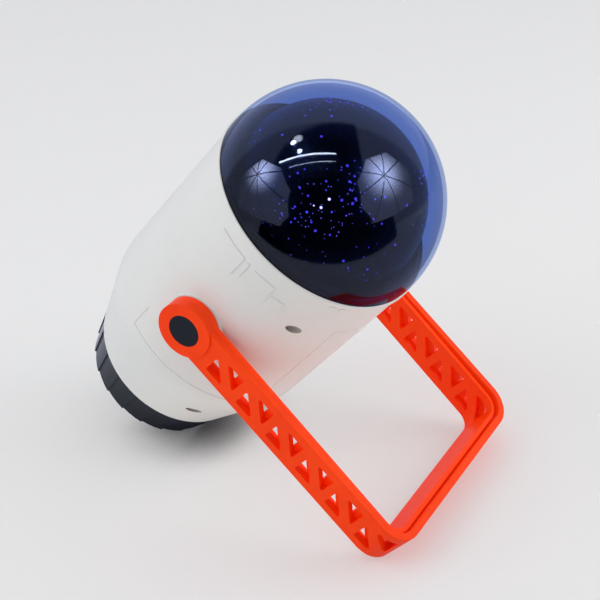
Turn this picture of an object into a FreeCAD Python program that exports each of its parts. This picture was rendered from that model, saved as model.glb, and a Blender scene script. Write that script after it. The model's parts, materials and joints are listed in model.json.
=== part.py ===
import FreeCAD, Part
import Sketcher
import math
import os

# Planetarium projector: a white barrel under a blue dome, lying back on the rim of its
# tail ring and on the crossbar of a trussed bail handle.
#
# Two frames are used.  The barrel frame has Z along the barrel toward the dome, X along
# the handle's pivots and its zero at the middle of the rim under the dome.  The handle
# frame has X along the pivots, Z from the pivots toward the crossbar and its zero on the
# pivots.  Each sub-part is drawn in one of them and then placed in the standing pose.

SIZES = {
    # dome and rim
    "rim_proud": 0.8,
    "dome_inset": 0.6,
    "dome_wall": 2.0,
    "dome_lift": 0.3,
    "skirt_depth": 1.6,
    "skirt_inset": 2.6,
    "skirt_wall": 1.8,
    "rim_depth": 3.6,
    "rim_plug": 3.4,
    "shelf_width": 15.0,
    "shelf_thick": 1.2,
    "seat_wall": 1.0,
    "seat_lip": 0.8,
    "seat_floor": 0.8,
    # barrel
    "barrel_radius": 59.0,
    "shell_wall": 2.6,
    "shoulder_drop": 108.0,
    "shoulder_round": 58.0,
    "barrel_length": 150.8,
    "tail_radius": 46.1,
    "neck_radius": 37.4,
    "neck_length": 15.0,
    "neck_wall": 2.6,
    "seam_gap": 0.1,
    "slide_gap": 0.1,
    "clear_gap": 0.4,
    # tail ring and foot
    "ring_length": 22.0,
    "ring_end_radius": 40.9,
    "ring_teeth": 20.0,
    "tooth_step": 0.9,
    "ring_gap": 0.3,
    "ring_phase": 6.0,
    "ring_lip": 2.2,
    "foot_plate_thick": 3.0,
    "foot_plug_length": 6.0,
    "foot_radius": 4.5,
    "foot_height": 2.6,
    "foot_circle": 25.0,
    "foot_count": 4.0,
    # pivots and handle
    "pivot_drop": 64.0,
    "pad_radius": 15.2,
    "pad_depth": 5.8,
    "stud_radius": 6.0,
    "stud_head_radius": 10.0,
    "stud_head_thick": 3.0,
    "stud_screw_radius": 1.6,
    "stud_screw_length": 10.0,
    "stud_screw_head": 4.0,
    "bail_clear": 0.5,
    "prop_wall": 2.6,
    "bail_gap": 0.8,
    "handle_wall": 4.0,
    "arm_width": 23.0,
    "handle_reach": 150.1,
    "corner_round": 15.0,
    "eye_radius": 14.8,
    "eye_proud": 1.0,
    "eye_gap": 0.3,
    "eye_sink": 4.6,
    "cap_radius": 8.6,
    "cap_thick": 1.8,
    "washer_thick": 1.0,
    "washer_radius": 8.2,
    "friction_radius": 12.0,
    "handle_swing": 91.5,
    "edge_round": 0.5,
    # handle lattice
    "lattice_start": 20.6,
    "lattice_leg": 11.6,
    "lattice_beyond": 1.0,
    "prop_lead": 3.8,
    "prop_drop_share": 0.5,
    "lattice_bays": 6.0,
    "lattice_half": 7.0,
    "lattice_round": 0.9,
    # star deck, hood and lamp column
    "deck_thick": 2.0,
    "deck_drop": 0.4,
    "platter_thick": 1.6,
    "platter_hub_radius": 15.4,
    "hood_inset": 9.5,
    "hood_wall": 2.0,
    "window_radius": 0.55,
    "window_height": 0.3,
    "window_lift": 0.01,
    "window_copies": 3.0,
    "column_radius": 12.2,
    "column_wall": 3.0,
    "column_shoulder": 14.4,
    "column_drop": 5.4,
    "lamp_drop": 10.2,
    "wire_way_radius": 4.0,
    "chassis_drop": 36.5,
    "chassis_thick": 3.0,
    "chassis_rib": 2.5,
    "lamp_board_thick": 1.6,
    "lamp_radius": 2.6,
    "lamp_height": 3.4,
    # drive
    "gear_module": 1.0,
    "wheel_teeth": 40.0,
    "pinion_teeth": 16.0,
    "gear_width": 4.0,
    "gear_drop": 10.0,
    "motor_radius": 10.0,
    "motor_length": 18.0,
    "motor_shaft_radius": 1.0,
    "shaft_sink": 3.0,
    # batteries and their door
    "cell_radius": 7.1,
    "cell_length": 48.6,
    "cell_tip_radius": 2.7,
    "cell_tip_length": 1.4,
    "cell_count": 3.0,
    "tray_wall": 1.6,
    "contact_thick": 0.5,
    "contact_spring": 3.0,
    "battery_inset": 18.4,
    "cell_pitch": 16.0,
    "door_half_angle": 32.0,
    "door_top": 26.0,
    "door_length": 74.0,
    "door_gap": 0.3,
    "door_ledge": 2.0,
    # buttons
    "button_angle": 62.0,
    "button_radius": 6.0,
    "button_proud": 1.6,
    "button_travel": 1.0,
    "button_drop": 52.0,
    "button_pitch": 16.0,
    "button_flange": 1.4,
    "board_thick": 1.6,
    "board_width": 20.0,
    "board_margin": 10.0,
    "board_post_radius": 2.0,
    "switch_height": 1.9,
    "switch_half": 3.0,
    # shell screws
    "screw_angle": 37.0,
    "screw_drop_top": 29.7,
    "screw_drop_tail": 128.0,
    "screw_head_radius": 2.3,
    "screw_shank_radius": 1.3,
    "screw_head_thick": 1.8,
    "screw_length": 14.0,
    "screw_boss_wall": 2.0,
    "screw_seat": 9.0,
    # relief on the barrel
    "relief_height": 0.45,
    "groove_width": 0.6,
    "groove_depth": 0.35,
    "groove_drop": 101.5,
    "groove_start": 158.0,
    "groove_span": 64.0,
}


class Size:
    """A size that knows both its value and the expression that gives it."""

    def __init__(self, value, text=None):
        self.value = float(value)
        self.text = text if text else repr(float(value))

    def join(self, other, sign, value):
        return Size(value, "({} {} {})".format(self.text, sign, as_size(other).text))

    def __add__(self, other):
        return self.join(other, "+", self.value + as_size(other).value)

    def __sub__(self, other):
        return self.join(other, "-", self.value - as_size(other).value)

    def __mul__(self, other):
        return self.join(other, "*", self.value * as_size(other).value)

    def __truediv__(self, other):
        return self.join(other, "/", self.value / as_size(other).value)

    def __neg__(self):
        return Size(0.0) - self

    def __radd__(self, other):
        return as_size(other) + self

    def __rsub__(self, other):
        return as_size(other) - self

    def __rmul__(self, other):
        return as_size(other) * self

    def __float__(self):
        return self.value


def as_size(number):
    return number if isinstance(number, Size) else Size(number)


def sine(angle):
    return Size(math.sin(math.radians(float(angle))), "sin({})".format(as_size(angle).text))


def cosine(angle):
    return Size(math.cos(math.radians(float(angle))), "cos({})".format(as_size(angle).text))


def arc_tangent(rise, run):
    angle = math.degrees(math.atan(float(rise) / float(run)))
    return Size(angle, "(atan({} / {}) / 1 deg)".format(rise.text, run.text))


def arc_cosine(ratio):
    angle = math.degrees(math.acos(float(ratio)))
    return Size(angle, "(acos({}) / 1 deg)".format(ratio.text))


def square_root(number):
    return Size(math.sqrt(float(number)), "sqrt({})".format(number.text))


doc = FreeCAD.newDocument("planetarium_projector")
sheet = doc.addObject("Spreadsheet::Sheet", "Sizes")


class Sheet:
    """The sheet's sizes by their alias, as Size values."""


dim = Sheet()
for row, (alias, number) in enumerate(SIZES.items(), start=1):
    sheet.set("A{}".format(row), alias)
    sheet.set("B{}".format(row), repr(number))
    sheet.setAlias("B{}".format(row), alias)
    setattr(dim, alias, Size(number, "Sizes.{}".format(alias)))
doc.recompute()

X_AXIS = FreeCAD.Vector(1, 0, 0)
Y_AXIS = FreeCAD.Vector(0, 1, 0)
Z_AXIS = FreeCAD.Vector(0, 0, 1)
degrees = 180.0 / math.pi
CLOSE = 1e-6
sub_parts = []


# ---------------------------------------------------------------- drawing helpers

def bind(thing, **sizes):
    """Tie an object's properties to the sheet."""
    for name, size in sizes.items():
        size = as_size(size)
        setattr(thing, name, size.value)
        thing.setExpression(name, size.text)
    return thing


def put(thing, x=0.0, y=0.0, z=0.0, axis=Z_AXIS, angle=0.0):
    """Place an object, with its offsets and its turn tied to the sheet."""
    spots = {"x": as_size(x), "y": as_size(y), "z": as_size(z)}
    base = FreeCAD.Vector(*[float(spot) for spot in spots.values()])
    thing.Placement = FreeCAD.Placement(base, FreeCAD.Rotation(axis, float(angle)))
    for letter, spot in spots.items():
        thing.setExpression("Placement.Base." + letter, spot.text)
    if isinstance(angle, Size):
        thing.setExpression("Placement.Rotation.Angle", angle.text)
    return thing


def cylinder(name, radius, length, z=0.0, x=0.0, y=0.0):
    rod = bind(doc.addObject("Part::Cylinder", name), Radius=radius, Height=length)
    return put(rod, x, y, z)


def cross_cylinder(name, radius, length, x, y=0.0, z=0.0):
    """A cylinder along X that starts at x."""
    rod = bind(doc.addObject("Part::Cylinder", name), Radius=radius, Height=length)
    return put(rod, x, y, z, Y_AXIS, 90.0)


def box(name, x_from, x_to, y_from, y_to, z_from, z_to):
    block = doc.addObject("Part::Box", name)
    bind(block, Length=as_size(x_to) - x_from, Width=as_size(y_to) - y_from,
         Height=as_size(z_to) - z_from)
    return put(block, x_from, y_from, z_from)


def cone(name, radius_low, radius_high, length, z=0.0):
    taper = doc.addObject("Part::Cone", name)
    bind(taper, Radius1=radius_low, Radius2=radius_high, Height=length)
    return put(taper, z=z)


def cut(name, base, tool):
    result = doc.addObject("Part::Cut", name)
    result.Base = base
    result.Tool = tool
    return result


def fuse(name, *pieces):
    result = doc.addObject("Part::MultiFuse", name)
    result.Shapes = list(pieces)
    return result


def gather(name, *pieces):
    """One object that holds separate solids."""
    result = doc.addObject("Part::Compound", name)
    result.Links = list(pieces)
    return result


def common(name, first, second):
    result = doc.addObject("Part::MultiCommon", name)
    result.Shapes = [first, second]
    return result


def tube(name, outer, inner, length, z=0.0):
    """An upright tube; its bore runs through both ends."""
    body = cylinder(name + "_outside", outer, length, z)
    bore = cylinder(name + "_bore", inner, as_size(length) + 2, as_size(z) - 1)
    return cut(name, body, bore)


def sector(name, outer, inner, angle_from, angle_to, z_from, z_to):
    """A piece of a tube's wall between two angles, measured from +X."""
    span = as_size(angle_to) - angle_from
    height = as_size(z_to) - z_from
    wedge = bind(doc.addObject("Part::Cylinder", name + "_wedge"), Radius=outer,
                 Height=height, Angle=span)
    put(wedge, z=z_from, angle=as_size(angle_from))
    bore = cylinder(name + "_bore", inner, height + 2, as_size(z_from) - 1)
    return cut(name, wedge, bore)


def plane_of(body, role):
    for feature in body.Origin.OriginFeatures:
        if feature.Role == role:
            return feature
    raise ValueError(role)


def unit_to(start, end):
    return (end - start).normalize()


def outline(sketch, corners):
    """Draw a closed outline through (x, y, round) corners, each tied to the sheet.

    A corner with no round is a vertex; one with a round is a construction point on both
    of its sides, which an arc of that radius joins.
    """
    count = len(corners)
    spots = [FreeCAD.Vector(float(x), float(y), 0) for x, y, _ in corners]
    leaves = []
    arrives = []
    for index, (_, _, radius) in enumerate(corners):
        spot = spots[index]
        back = unit_to(spot, spots[index - 1])
        ahead = unit_to(spot, spots[(index + 1) % count])
        half = back.getAngle(ahead) / 2
        reach = float(radius) / math.tan(half) if radius else 0.0
        arrives.append(spot + back * reach)
        leaves.append(spot + ahead * reach)
    sides = []
    for index in range(count):
        end = arrives[(index + 1) % count]
        sides.append(sketch.addGeometry(Part.LineSegment(leaves[index], end), False))
    for index, (x, y, radius) in enumerate(corners):
        before = sides[index - 1]
        after = sides[index]
        if radius:
            mark = sketch.addGeometry(Part.Point(spots[index]), True)
            sketch.addConstraint(Sketcher.Constraint("PointOnObject", mark, 1, before))
            sketch.addConstraint(Sketcher.Constraint("PointOnObject", mark, 1, after))
            join_with_arc(sketch, before, after, arrives[index], leaves[index],
                          spots[index], radius)
            tied, end = mark, 1
        else:
            sketch.addConstraint(Sketcher.Constraint("Coincident", before, 2, after, 1))
            tied, end = after, 1
        for kind, size in (("DistanceX", as_size(x)), ("DistanceY", as_size(y))):
            rule = Sketcher.Constraint(kind, -1, 1, tied, end, size.value)
            place = sketch.addConstraint(rule)
            sketch.setExpression("Constraints[{}]".format(place), size.text)


def join_with_arc(sketch, before, after, start, end, corner, radius):
    """Round the corner between two sides with a tangent arc."""
    bisector = ((start + end) / 2 - corner).normalize()
    half = (start - corner).getAngle(end - corner) / 2
    centre = corner + bisector * (float(radius) / math.sin(half))
    middle = centre - bisector * float(radius)
    arc = sketch.addGeometry(Part.Arc(start, middle, end), False)
    turns_left = (start - centre).cross(end - centre).z > 0
    ends = (1, 2) if turns_left else (2, 1)
    sketch.addConstraint(Sketcher.Constraint("Tangent", before, 2, arc, ends[0]))
    sketch.addConstraint(Sketcher.Constraint("Tangent", after, 1, arc, ends[1]))
    rule = sketch.addConstraint(Sketcher.Constraint("Radius", arc, float(radius)))
    sketch.setExpression("Constraints[{}]".format(rule), as_size(radius).text)


def new_sketch(body, name, role, offset=0.0):
    sketch = body.newObject("Sketcher::SketchObject", name)
    sketch.AttachmentSupport = [(plane_of(body, role), "")]
    sketch.MapMode = "FlatFace"
    offset = as_size(offset)
    sketch.AttachmentOffset = FreeCAD.Placement(Z_AXIS * offset.value, FreeCAD.Rotation())
    sketch.setExpression("AttachmentOffset.Base.z", offset.text)
    return sketch


def revolved(name, corners):
    """A turned piece: an outline of (radius, height, round) corners spun about Z."""
    body = doc.addObject("PartDesign::Body", name)
    sketch = new_sketch(body, name + "_outline", "XZ_Plane")
    outline(sketch, corners)
    turn = body.newObject("PartDesign::Revolution", name + "_turn")
    turn.Profile = sketch
    turn.ReferenceAxis = (sketch, ["V_Axis"])
    turn.Angle = 360
    return body


def round_edges(body, name, edges, radius):
    """Fillet some edges of the body's last feature."""
    base = body.Tip
    rounds = body.newObject("PartDesign::Fillet", name)
    rounds.Base = (base, edges)
    bind(rounds, Radius=radius)


def padded(name, corners, role, length):
    """A plate: an outline padded evenly to both sides of its plane."""
    body = doc.addObject("PartDesign::Body", name)
    sketch = new_sketch(body, name + "_outline", role)
    outline(sketch, corners)
    pad = body.newObject("PartDesign::Pad", name + "_pad")
    pad.Profile = sketch
    pad.Midplane = True
    bind(pad, Length=length)
    return body


def finish_in_barrel(thing, label):
    """Give a piece drawn in the barrel frame its name and its place in the pose."""
    return finish(thing, label, origin_y, origin_z, tilt)


def finish_in_handle(thing, label, lag=0.0):
    """Give a piece drawn in the handle frame its name and its place in the pose."""
    pivot_y = origin_y + dim.pivot_drop * sine(tilt)
    pivot_z = origin_z - dim.pivot_drop * cosine(tilt)
    return finish(thing, label, pivot_y, pivot_z, tilt + dim.handle_swing + lag)


def finish(thing, label, y, z, angle):
    thing.Label = label
    put(thing, 0.0, y, z, X_AXIS, angle)
    sub_parts.append(thing)
    return thing


# ---------------------------------------------------------------- the resting pose

half_width = dim.arm_width / 2
ring_floor = dim.barrel_length + dim.ring_gap + dim.ring_length
ring_edge = dim.ring_end_radius
bar_y = -(dim.handle_reach * sine(dim.handle_swing)) - half_width * cosine(dim.handle_swing)
bar_z = dim.handle_reach * cosine(dim.handle_swing) - dim.pivot_drop
bar_z = bar_z - half_width * sine(dim.handle_swing)
tilt = arc_tangent(bar_z + ring_floor, -ring_edge - bar_y)
origin_z = ring_edge * sine(tilt) + ring_floor * cosine(tilt)
back_y = ring_edge * cosine(tilt) + ring_floor * sine(tilt)
bar_angle = tilt + dim.handle_swing
front_y = dim.pivot_drop * sine(tilt) - dim.handle_reach * sine(bar_angle)
front_y = front_y + half_width * cosine(bar_angle)
origin_y = -((back_y + front_y) / 2)


# ---------------------------------------------------------------- shared heights and radii

rim_radius = dim.barrel_radius + dim.rim_proud
dome_radius = rim_radius - dim.dome_inset
skirt_radius = rim_radius - dim.skirt_inset
hood_radius = rim_radius - dim.hood_inset
shell_bore = dim.barrel_radius - dim.shell_wall
battery_offset = shell_bore - dim.battery_inset
deck_floor = dim.skirt_depth + dim.clear_gap / 2
shelf_high = -(deck_floor + dim.seat_floor)
deck_top = -dim.deck_drop
gear_low = -(dim.deck_thick + dim.gear_drop)
gear_distance = dim.gear_module * (dim.wheel_teeth + dim.pinion_teeth) / 2 + dim.slide_gap
chassis_low = -(dim.chassis_drop + dim.chassis_thick)
tray_high = chassis_low - dim.tray_wall
tray_low = (tray_high - dim.cell_length - dim.cell_tip_length - dim.contact_spring
            - dim.contact_thick * 2)
pad_face = rim_radius
bail_inside = rim_radius + dim.bail_clear
prop_outside = bail_inside + dim.prop_wall
handle_outside = prop_outside + dim.bail_gap + dim.handle_wall
eye_face = handle_outside + dim.eye_proud
eye_floor = eye_face - dim.eye_sink
prop_reach = dim.handle_reach - dim.handle_wall - dim.bail_gap
lattice_pitch = ((dim.handle_reach + dim.lattice_beyond - dim.lattice_start)
                 / dim.lattice_bays)
ledge_radius = dim.barrel_radius - dim.shell_wall / 2
pad_floor = pad_face - dim.pad_depth
stud_bore = dim.stud_radius + dim.slide_gap / 2
stud_end = eye_floor + dim.slide_gap
cap_floor = eye_face - dim.cap_thick
neck_end = dim.barrel_length + dim.neck_length
foot_plate_top = neck_end + dim.ring_gap * 2 + dim.ring_lip
pivot_height = origin_z - dim.pivot_drop * cosine(tilt)
prop_diagonal = square_root(prop_reach * prop_reach + half_width * half_width)
prop_lag = dim.prop_drop_share * (arc_cosine(-(pivot_height / prop_diagonal))
                                  - arc_tangent(half_width, prop_reach)
                                  - tilt - dim.handle_swing)


# ---------------------------------------------------------------- dome and rim

def make_dome():
    """Blue dome: half a hollow ball on a short skirt that plugs into the rim ring."""
    ball = bind(doc.addObject("Part::Sphere", "dome_ball"), Radius=dome_radius,
                Angle1=0.0, Angle2=90.0)
    hollow = bind(doc.addObject("Part::Sphere", "dome_hollow"),
                  Radius=dome_radius - dim.dome_wall)
    half_ball = put(cut("dome_half", ball, hollow), z=dim.dome_lift)
    skirt = tube("dome_skirt", skirt_radius, skirt_radius - dim.skirt_wall,
                 dim.skirt_depth + dim.dome_lift * 2, -dim.skirt_depth)
    finish_in_barrel(fuse("dome_shape", half_ball, skirt), "star_dome")


def make_rim_ring():
    """White bead under the dome: its bore and its shelf hold the black deck ring."""
    outer = rim_radius
    bore = skirt_radius + dim.slide_gap * 2 + dim.seat_wall
    plug = shell_bore - dim.slide_gap
    high = -dim.seat_lip
    shelf_low = shelf_high - dim.shelf_thick
    ring = revolved("rim_ring_body", [
        (bore, high, 0),
        (outer - dim.edge_round, high, 0),
        (outer, high - dim.edge_round, 0),
        (outer, -dim.rim_depth, 0),
        (plug, -dim.rim_depth, 0),
        (plug, -dim.rim_depth - dim.rim_plug, 0),
        (plug - dim.shell_wall, -dim.rim_depth - dim.rim_plug, 0),
        (plug - dim.shell_wall, shelf_low, 0),
        (bore - dim.shelf_width, shelf_low, 0),
        (bore - dim.shelf_width, shelf_high, 0),
        (bore, shelf_high, 0),
    ])
    finish_in_barrel(ring, "rim_ring")


def make_deck_ring():
    """Black ring round the hood: a groove for the dome's skirt and a lip under its edge."""
    inner = hood_radius + dim.ring_gap
    groove_in = skirt_radius - dim.skirt_wall - dim.clear_gap
    groove_out = skirt_radius + dim.slide_gap
    wall = groove_out + dim.seat_wall
    lip_low = dim.slide_gap - dim.seat_lip
    ring = revolved("deck_ring_body", [
        (inner, deck_top, 0),
        (groove_in, deck_top, 0),
        (groove_in, -deck_floor, 0),
        (groove_out, -deck_floor, 0),
        (groove_out, 0.0, 0),
        (dome_radius, 0.0, 0),
        (dome_radius, lip_low, 0),
        (wall, lip_low, 0),
        (wall, shelf_high, 0),
        (inner, shelf_high, 0),
    ])
    finish_in_barrel(ring, "deck_ring")


def make_star_platter():
    """Turning disc that carries the star hood, with its bearing hub below."""
    bore = dim.column_radius + dim.slide_gap
    disc = tube("platter_disc", hood_radius, bore, dim.platter_thick,
                deck_top - dim.platter_thick)
    hub = tube("platter_hub", dim.platter_hub_radius, bore,
               deck_top - dim.platter_thick - gear_low, gear_low)
    finish_in_barrel(fuse("platter_shape", disc, hub), "star_platter")


def make_star_hood():
    """Black half ball on the platter; its bare windows let the lamp's light out."""
    ball = bind(doc.addObject("Part::Sphere", "hood_ball"), Radius=hood_radius,
                Angle1=0.0, Angle2=90.0)
    hollow = bind(doc.addObject("Part::Sphere", "hood_hollow"),
                  Radius=hood_radius - dim.hood_wall)
    foot = tube("hood_foot", hood_radius, hood_radius - dim.hood_wall, -deck_top, deck_top)
    finish_in_barrel(fuse("hood_shape", cut("hood_half", ball, hollow), foot), "star_hood")


# Windows of the star hood along its meridians: (angle round, angles down from the top).
STAR_FIELD = (
    (120, (75,)), (125, (57,)), (134, (36,)), (157, (50, 54)), (166, (57, 68, 71)),
    (171, (73,)), (173, (25, 30, 34, 44, 56, 65)), (178, (47, 69, 72)), (180, (57, 62, 66)),
    (184, (49, 55)), (186, (31, 35, 64)), (191, (34, 38, 45, 53, 66)), (199, (40, 43, 63)),
    (208, (44,)), (215, (35, 43, 72)), (220, (45, 75)), (225, (32, 60, 66)), (228, (46,)),
    (232, (73, 77)), (237, (81,)),
)


def make_star_points():
    """Clear windows on the hood: one field of stars, repeated round the hood."""
    copies = int(dim.window_copies.value)
    stand = hood_radius.value + dim.window_lift.value
    windows = []
    for copy in range(copies):
        for around, downs in STAR_FIELD:
            for down in downs:
                turn = math.radians(around + 360.0 / copies * copy)
                lean = math.radians(down)
                out = FreeCAD.Vector(math.sin(lean) * math.cos(turn),
                                     math.sin(lean) * math.sin(turn), math.cos(lean))
                size = dim.window_radius.value * (0.7 + 0.3 * ((around + down) % 3))
                windows.append(Part.makeCylinder(size, dim.window_height.value,
                                                 out * stand, out))
    star_points = doc.addObject("Part::Feature", "star_points_shape")
    star_points.Shape = Part.makeCompound(windows)
    finish_in_barrel(star_points, "star_points")


# ---------------------------------------------------------------- gears

def gear(name, teeth, bore):
    """A spur gear with straight-sided teeth, narrow enough to run with play."""
    module = dim.gear_module.value
    width = dim.gear_width.value
    teeth = int(teeth.value)
    pitch_radius = teeth * module / 2
    tip_radius = pitch_radius + 0.85 * module
    root_radius = pitch_radius - 1.25 * module
    quarter = math.pi / teeth / 2
    half_angles = ((root_radius, 1.3 * quarter), (pitch_radius, 0.82 * quarter),
                   (tip_radius, 0.42 * quarter))
    points = []
    for tooth in range(teeth):
        middle = 2 * math.pi * tooth / teeth
        for radius, half in half_angles:
            points.append(polar(radius, middle - half))
        for radius, half in reversed(half_angles):
            points.append(polar(radius, middle + half))
    points.append(points[0])
    blank = Part.Face(Part.makePolygon(points)).extrude(FreeCAD.Vector(0, 0, width))
    wheel = doc.addObject("Part::Feature", name)
    wheel.Shape = blank.cut(Part.makeCylinder(bore.value, width))
    return wheel


def polar(radius, angle):
    return FreeCAD.Vector(radius * math.cos(angle), radius * math.sin(angle), 0)


def make_star_gear():
    """Toothed wheel pressed on the platter's hub."""
    wheel = gear("star_gear_teeth", dim.wheel_teeth, dim.platter_hub_radius)
    put(wheel, z=gear_low)
    finish_in_barrel(gather("star_gear_shape", wheel), "star_gear")


def make_pinion():
    """Motor pinion, turned half a tooth so that it meshes with the wheel."""
    pinion = gear("motor_pinion_teeth", dim.pinion_teeth, dim.motor_shaft_radius)
    put(pinion, y=gear_distance, z=gear_low, angle=Size(180.0) / dim.pinion_teeth - 90.0)
    finish_in_barrel(gather("motor_pinion_shape", pinion), "motor_pinion")


# ---------------------------------------------------------------- lamp column and chassis

def make_lamp_column():
    """Black column on the chassis: the platter turns round it and the lamp sits in it."""
    foot = -dim.chassis_drop
    shoulder = cylinder("column_shoulder", dim.column_shoulder,
                        gear_low - dim.ring_gap - foot, foot)
    column = cylinder("column_post", dim.column_radius, -dim.column_drop - foot, foot)
    wire_way = cylinder("column_wire_way", dim.wire_way_radius,
                        dim.chassis_drop + 2, foot - 1)
    cup = cylinder("column_cup", dim.column_radius - dim.column_wall, dim.lamp_drop,
                   -dim.lamp_drop)
    hollow = fuse("column_hollow", wire_way, cup)
    finish_in_barrel(cut("column_shape", fuse("column_solid", shoulder, column), hollow),
                     "lamp_column")


def make_chassis():
    """Round plate across the barrel that carries the lamp column, motor and batteries."""
    plate = cylinder("chassis_disc", shell_bore - dim.slide_gap, dim.chassis_thick,
                     chassis_low)
    shaft_hole = cylinder("chassis_shaft_hole", dim.motor_shaft_radius + dim.ring_gap,
                          dim.chassis_thick + 2, chassis_low - 1, y=gear_distance)
    finish_in_barrel(cut("chassis_shape", plate, shaft_hole), "chassis_plate")


def make_lamp():
    """Lamp board with the light-emitting dome standing on it."""
    radius = dim.column_radius - dim.column_wall - dim.slide_gap
    foot = -dim.lamp_drop
    board = cylinder("lamp_board_disc", radius, dim.lamp_board_thick, foot)
    finish_in_barrel(gather("lamp_board_shape", board), "lamp_board")
    stand = foot + dim.lamp_board_thick
    post = cylinder("lamp_post", dim.lamp_radius, dim.lamp_height - dim.lamp_radius, stand)
    tip = bind(doc.addObject("Part::Sphere", "lamp_tip"), Radius=dim.lamp_radius)
    put(tip, z=stand + dim.lamp_height - dim.lamp_radius)
    skirt = cylinder("lamp_above_board", dim.lamp_radius * 2, dim.lamp_height + 1, stand)
    finish_in_barrel(common("lamp_shape", fuse("lamp_whole", post, tip), skirt), "lamp")


def make_motor():
    """Small can motor under the chassis and the shaft that carries its pinion."""
    can = cylinder("motor_can", dim.motor_radius, dim.motor_length,
                   chassis_low - dim.motor_length, y=gear_distance)
    shaft_low = chassis_low - dim.shaft_sink
    bore = cylinder("motor_bore", dim.motor_shaft_radius + dim.slide_gap / 2,
                    dim.shaft_sink + 1, shaft_low, y=gear_distance)
    finish_in_barrel(cut("motor_shape", can, bore), "gear_motor")
    shaft_foot = shaft_low + dim.slide_gap
    shaft = cylinder("shaft_rod", dim.motor_shaft_radius,
                     gear_low + dim.gear_width - shaft_foot, shaft_foot, y=gear_distance)
    finish_in_barrel(gather("shaft_shape", shaft), "motor_shaft")


# ---------------------------------------------------------------- batteries and door

def cell_places():
    """The cells' distances from the barrel's middle plane, along X."""
    count = int(dim.cell_count.value)
    return [dim.cell_pitch * (index - (count - 1) / 2) for index in range(count)]


def make_tray():
    """Open battery tray hanging under the chassis, its mouth toward the door."""
    wall = dim.tray_wall
    half = dim.cell_pitch * (dim.cell_count - 1) / 2 + dim.cell_radius + dim.clear_gap
    back = -battery_offset + dim.cell_radius + dim.clear_gap
    mouth = -battery_offset - dim.cell_radius
    outside = box("tray_outside", -half - wall, half + wall, mouth, back + wall,
                  tray_low - wall, chassis_low)
    room = box("tray_room", -half, half, mouth - 1, back, tray_low, tray_high)
    finish_in_barrel(cut("tray_shape", outside, room), "battery_tray")


def make_cells():
    """Three cells side by side, alternately tip up and tip down."""
    cells = []
    low = tray_low + dim.contact_thick + dim.contact_spring
    for index, across in enumerate(cell_places()):
        name = "cell_{}".format(index)
        upright = index % 2 == 0
        can_low = low if upright else low + dim.cell_tip_length - dim.contact_spring
        tip_low = can_low + dim.cell_length if upright else can_low - dim.cell_tip_length
        can = cylinder(name + "_can", dim.cell_radius, dim.cell_length, can_low, across,
                       -battery_offset)
        tip = cylinder(name + "_tip", dim.cell_tip_radius, dim.cell_tip_length, tip_low,
                       across, -battery_offset)
        cells.append(fuse(name, can, tip))
    finish_in_barrel(gather("cells_shape", *cells), "battery_cells")


def make_contacts():
    """Steel contact plates at both ends of the tray, with cone springs."""
    contacts = []
    half = dim.cell_radius - dim.clear_gap
    for index, across in enumerate(cell_places()):
        spring_low = index % 2 == 0
        for end, low in (("low", tray_low), ("high", tray_high - dim.contact_thick)):
            name = "contact_{}_{}".format(index, end)
            plate = box(name, across - half, across + half, -battery_offset - half,
                        -battery_offset + half, low, low + dim.contact_thick)
            if (end == "low") == spring_low:
                foot = low + dim.contact_thick if end == "low" else low - dim.contact_spring
                wide, narrow = dim.cell_tip_radius * 2, dim.cell_tip_radius
                radii = (wide, narrow) if end == "low" else (narrow, wide)
                spring = cone(name + "_spring", radii[0], radii[1], dim.contact_spring, foot)
                put(spring, across, -battery_offset, foot)
                plate = fuse(name + "_sprung", plate, spring)
            contacts.append(plate)
    finish_in_barrel(gather("contacts_shape", *contacts), "battery_contacts")


def door_plate(name, outer, inner, margin):
    """A curved plate over the door's opening, drawn in by a margin all round."""
    half = dim.door_half_angle - margin / dim.barrel_radius * degrees
    return sector(name, outer, inner, Size(270.0) - half, Size(270.0) + half,
                  -dim.door_top - dim.door_length + margin, -dim.door_top - margin)


def make_door():
    """Curved battery door: a leaf on the opening's ledge, a plug and a finger rib."""
    leaf = door_plate("door_leaf", dim.barrel_radius, ledge_radius, dim.door_gap)
    plug = door_plate("door_plug", ledge_radius, shell_bore, dim.door_ledge + dim.door_gap)
    rib_half = dim.door_half_angle / 3
    rib_high = -dim.door_top - dim.door_ledge * 3
    rib = sector("door_rib", dim.barrel_radius + dim.relief_height, ledge_radius,
                 Size(270.0) - rib_half, Size(270.0) + rib_half, rib_high - dim.door_ledge,
                 rib_high)
    finish_in_barrel(fuse("door_shape", leaf, plug, rib), "battery_door")


# ---------------------------------------------------------------- shells

def tail_radius_at(drop):
    """The tapered tail's outer radius at a drop below the rim."""
    slope = (dim.barrel_radius - dim.tail_radius) / (dim.barrel_length - dim.shoulder_drop)
    return dim.barrel_radius - slope * (drop - dim.shoulder_drop)


def shell_wall_body():
    """The barrel's wall from the rim to the end of the neck."""
    neck_bore = dim.neck_radius - dim.neck_wall
    tail_floor = dim.shell_wall - dim.barrel_length
    return revolved("shell_wall_body", [
        (dim.barrel_radius, -dim.rim_depth, 0),
        (dim.barrel_radius, -dim.shoulder_drop, dim.shoulder_round),
        (dim.tail_radius, -dim.barrel_length, 0),
        (dim.neck_radius, -dim.barrel_length, 0),
        (dim.neck_radius, -neck_end, 0),
        (neck_bore, -neck_end, 0),
        (neck_bore, tail_floor, 0),
        (dim.tail_radius - dim.shell_wall, tail_floor, 0),
        (shell_bore, -dim.shoulder_drop, dim.shoulder_round),
        (shell_bore, -dim.rim_depth, 0),
    ])


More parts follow.
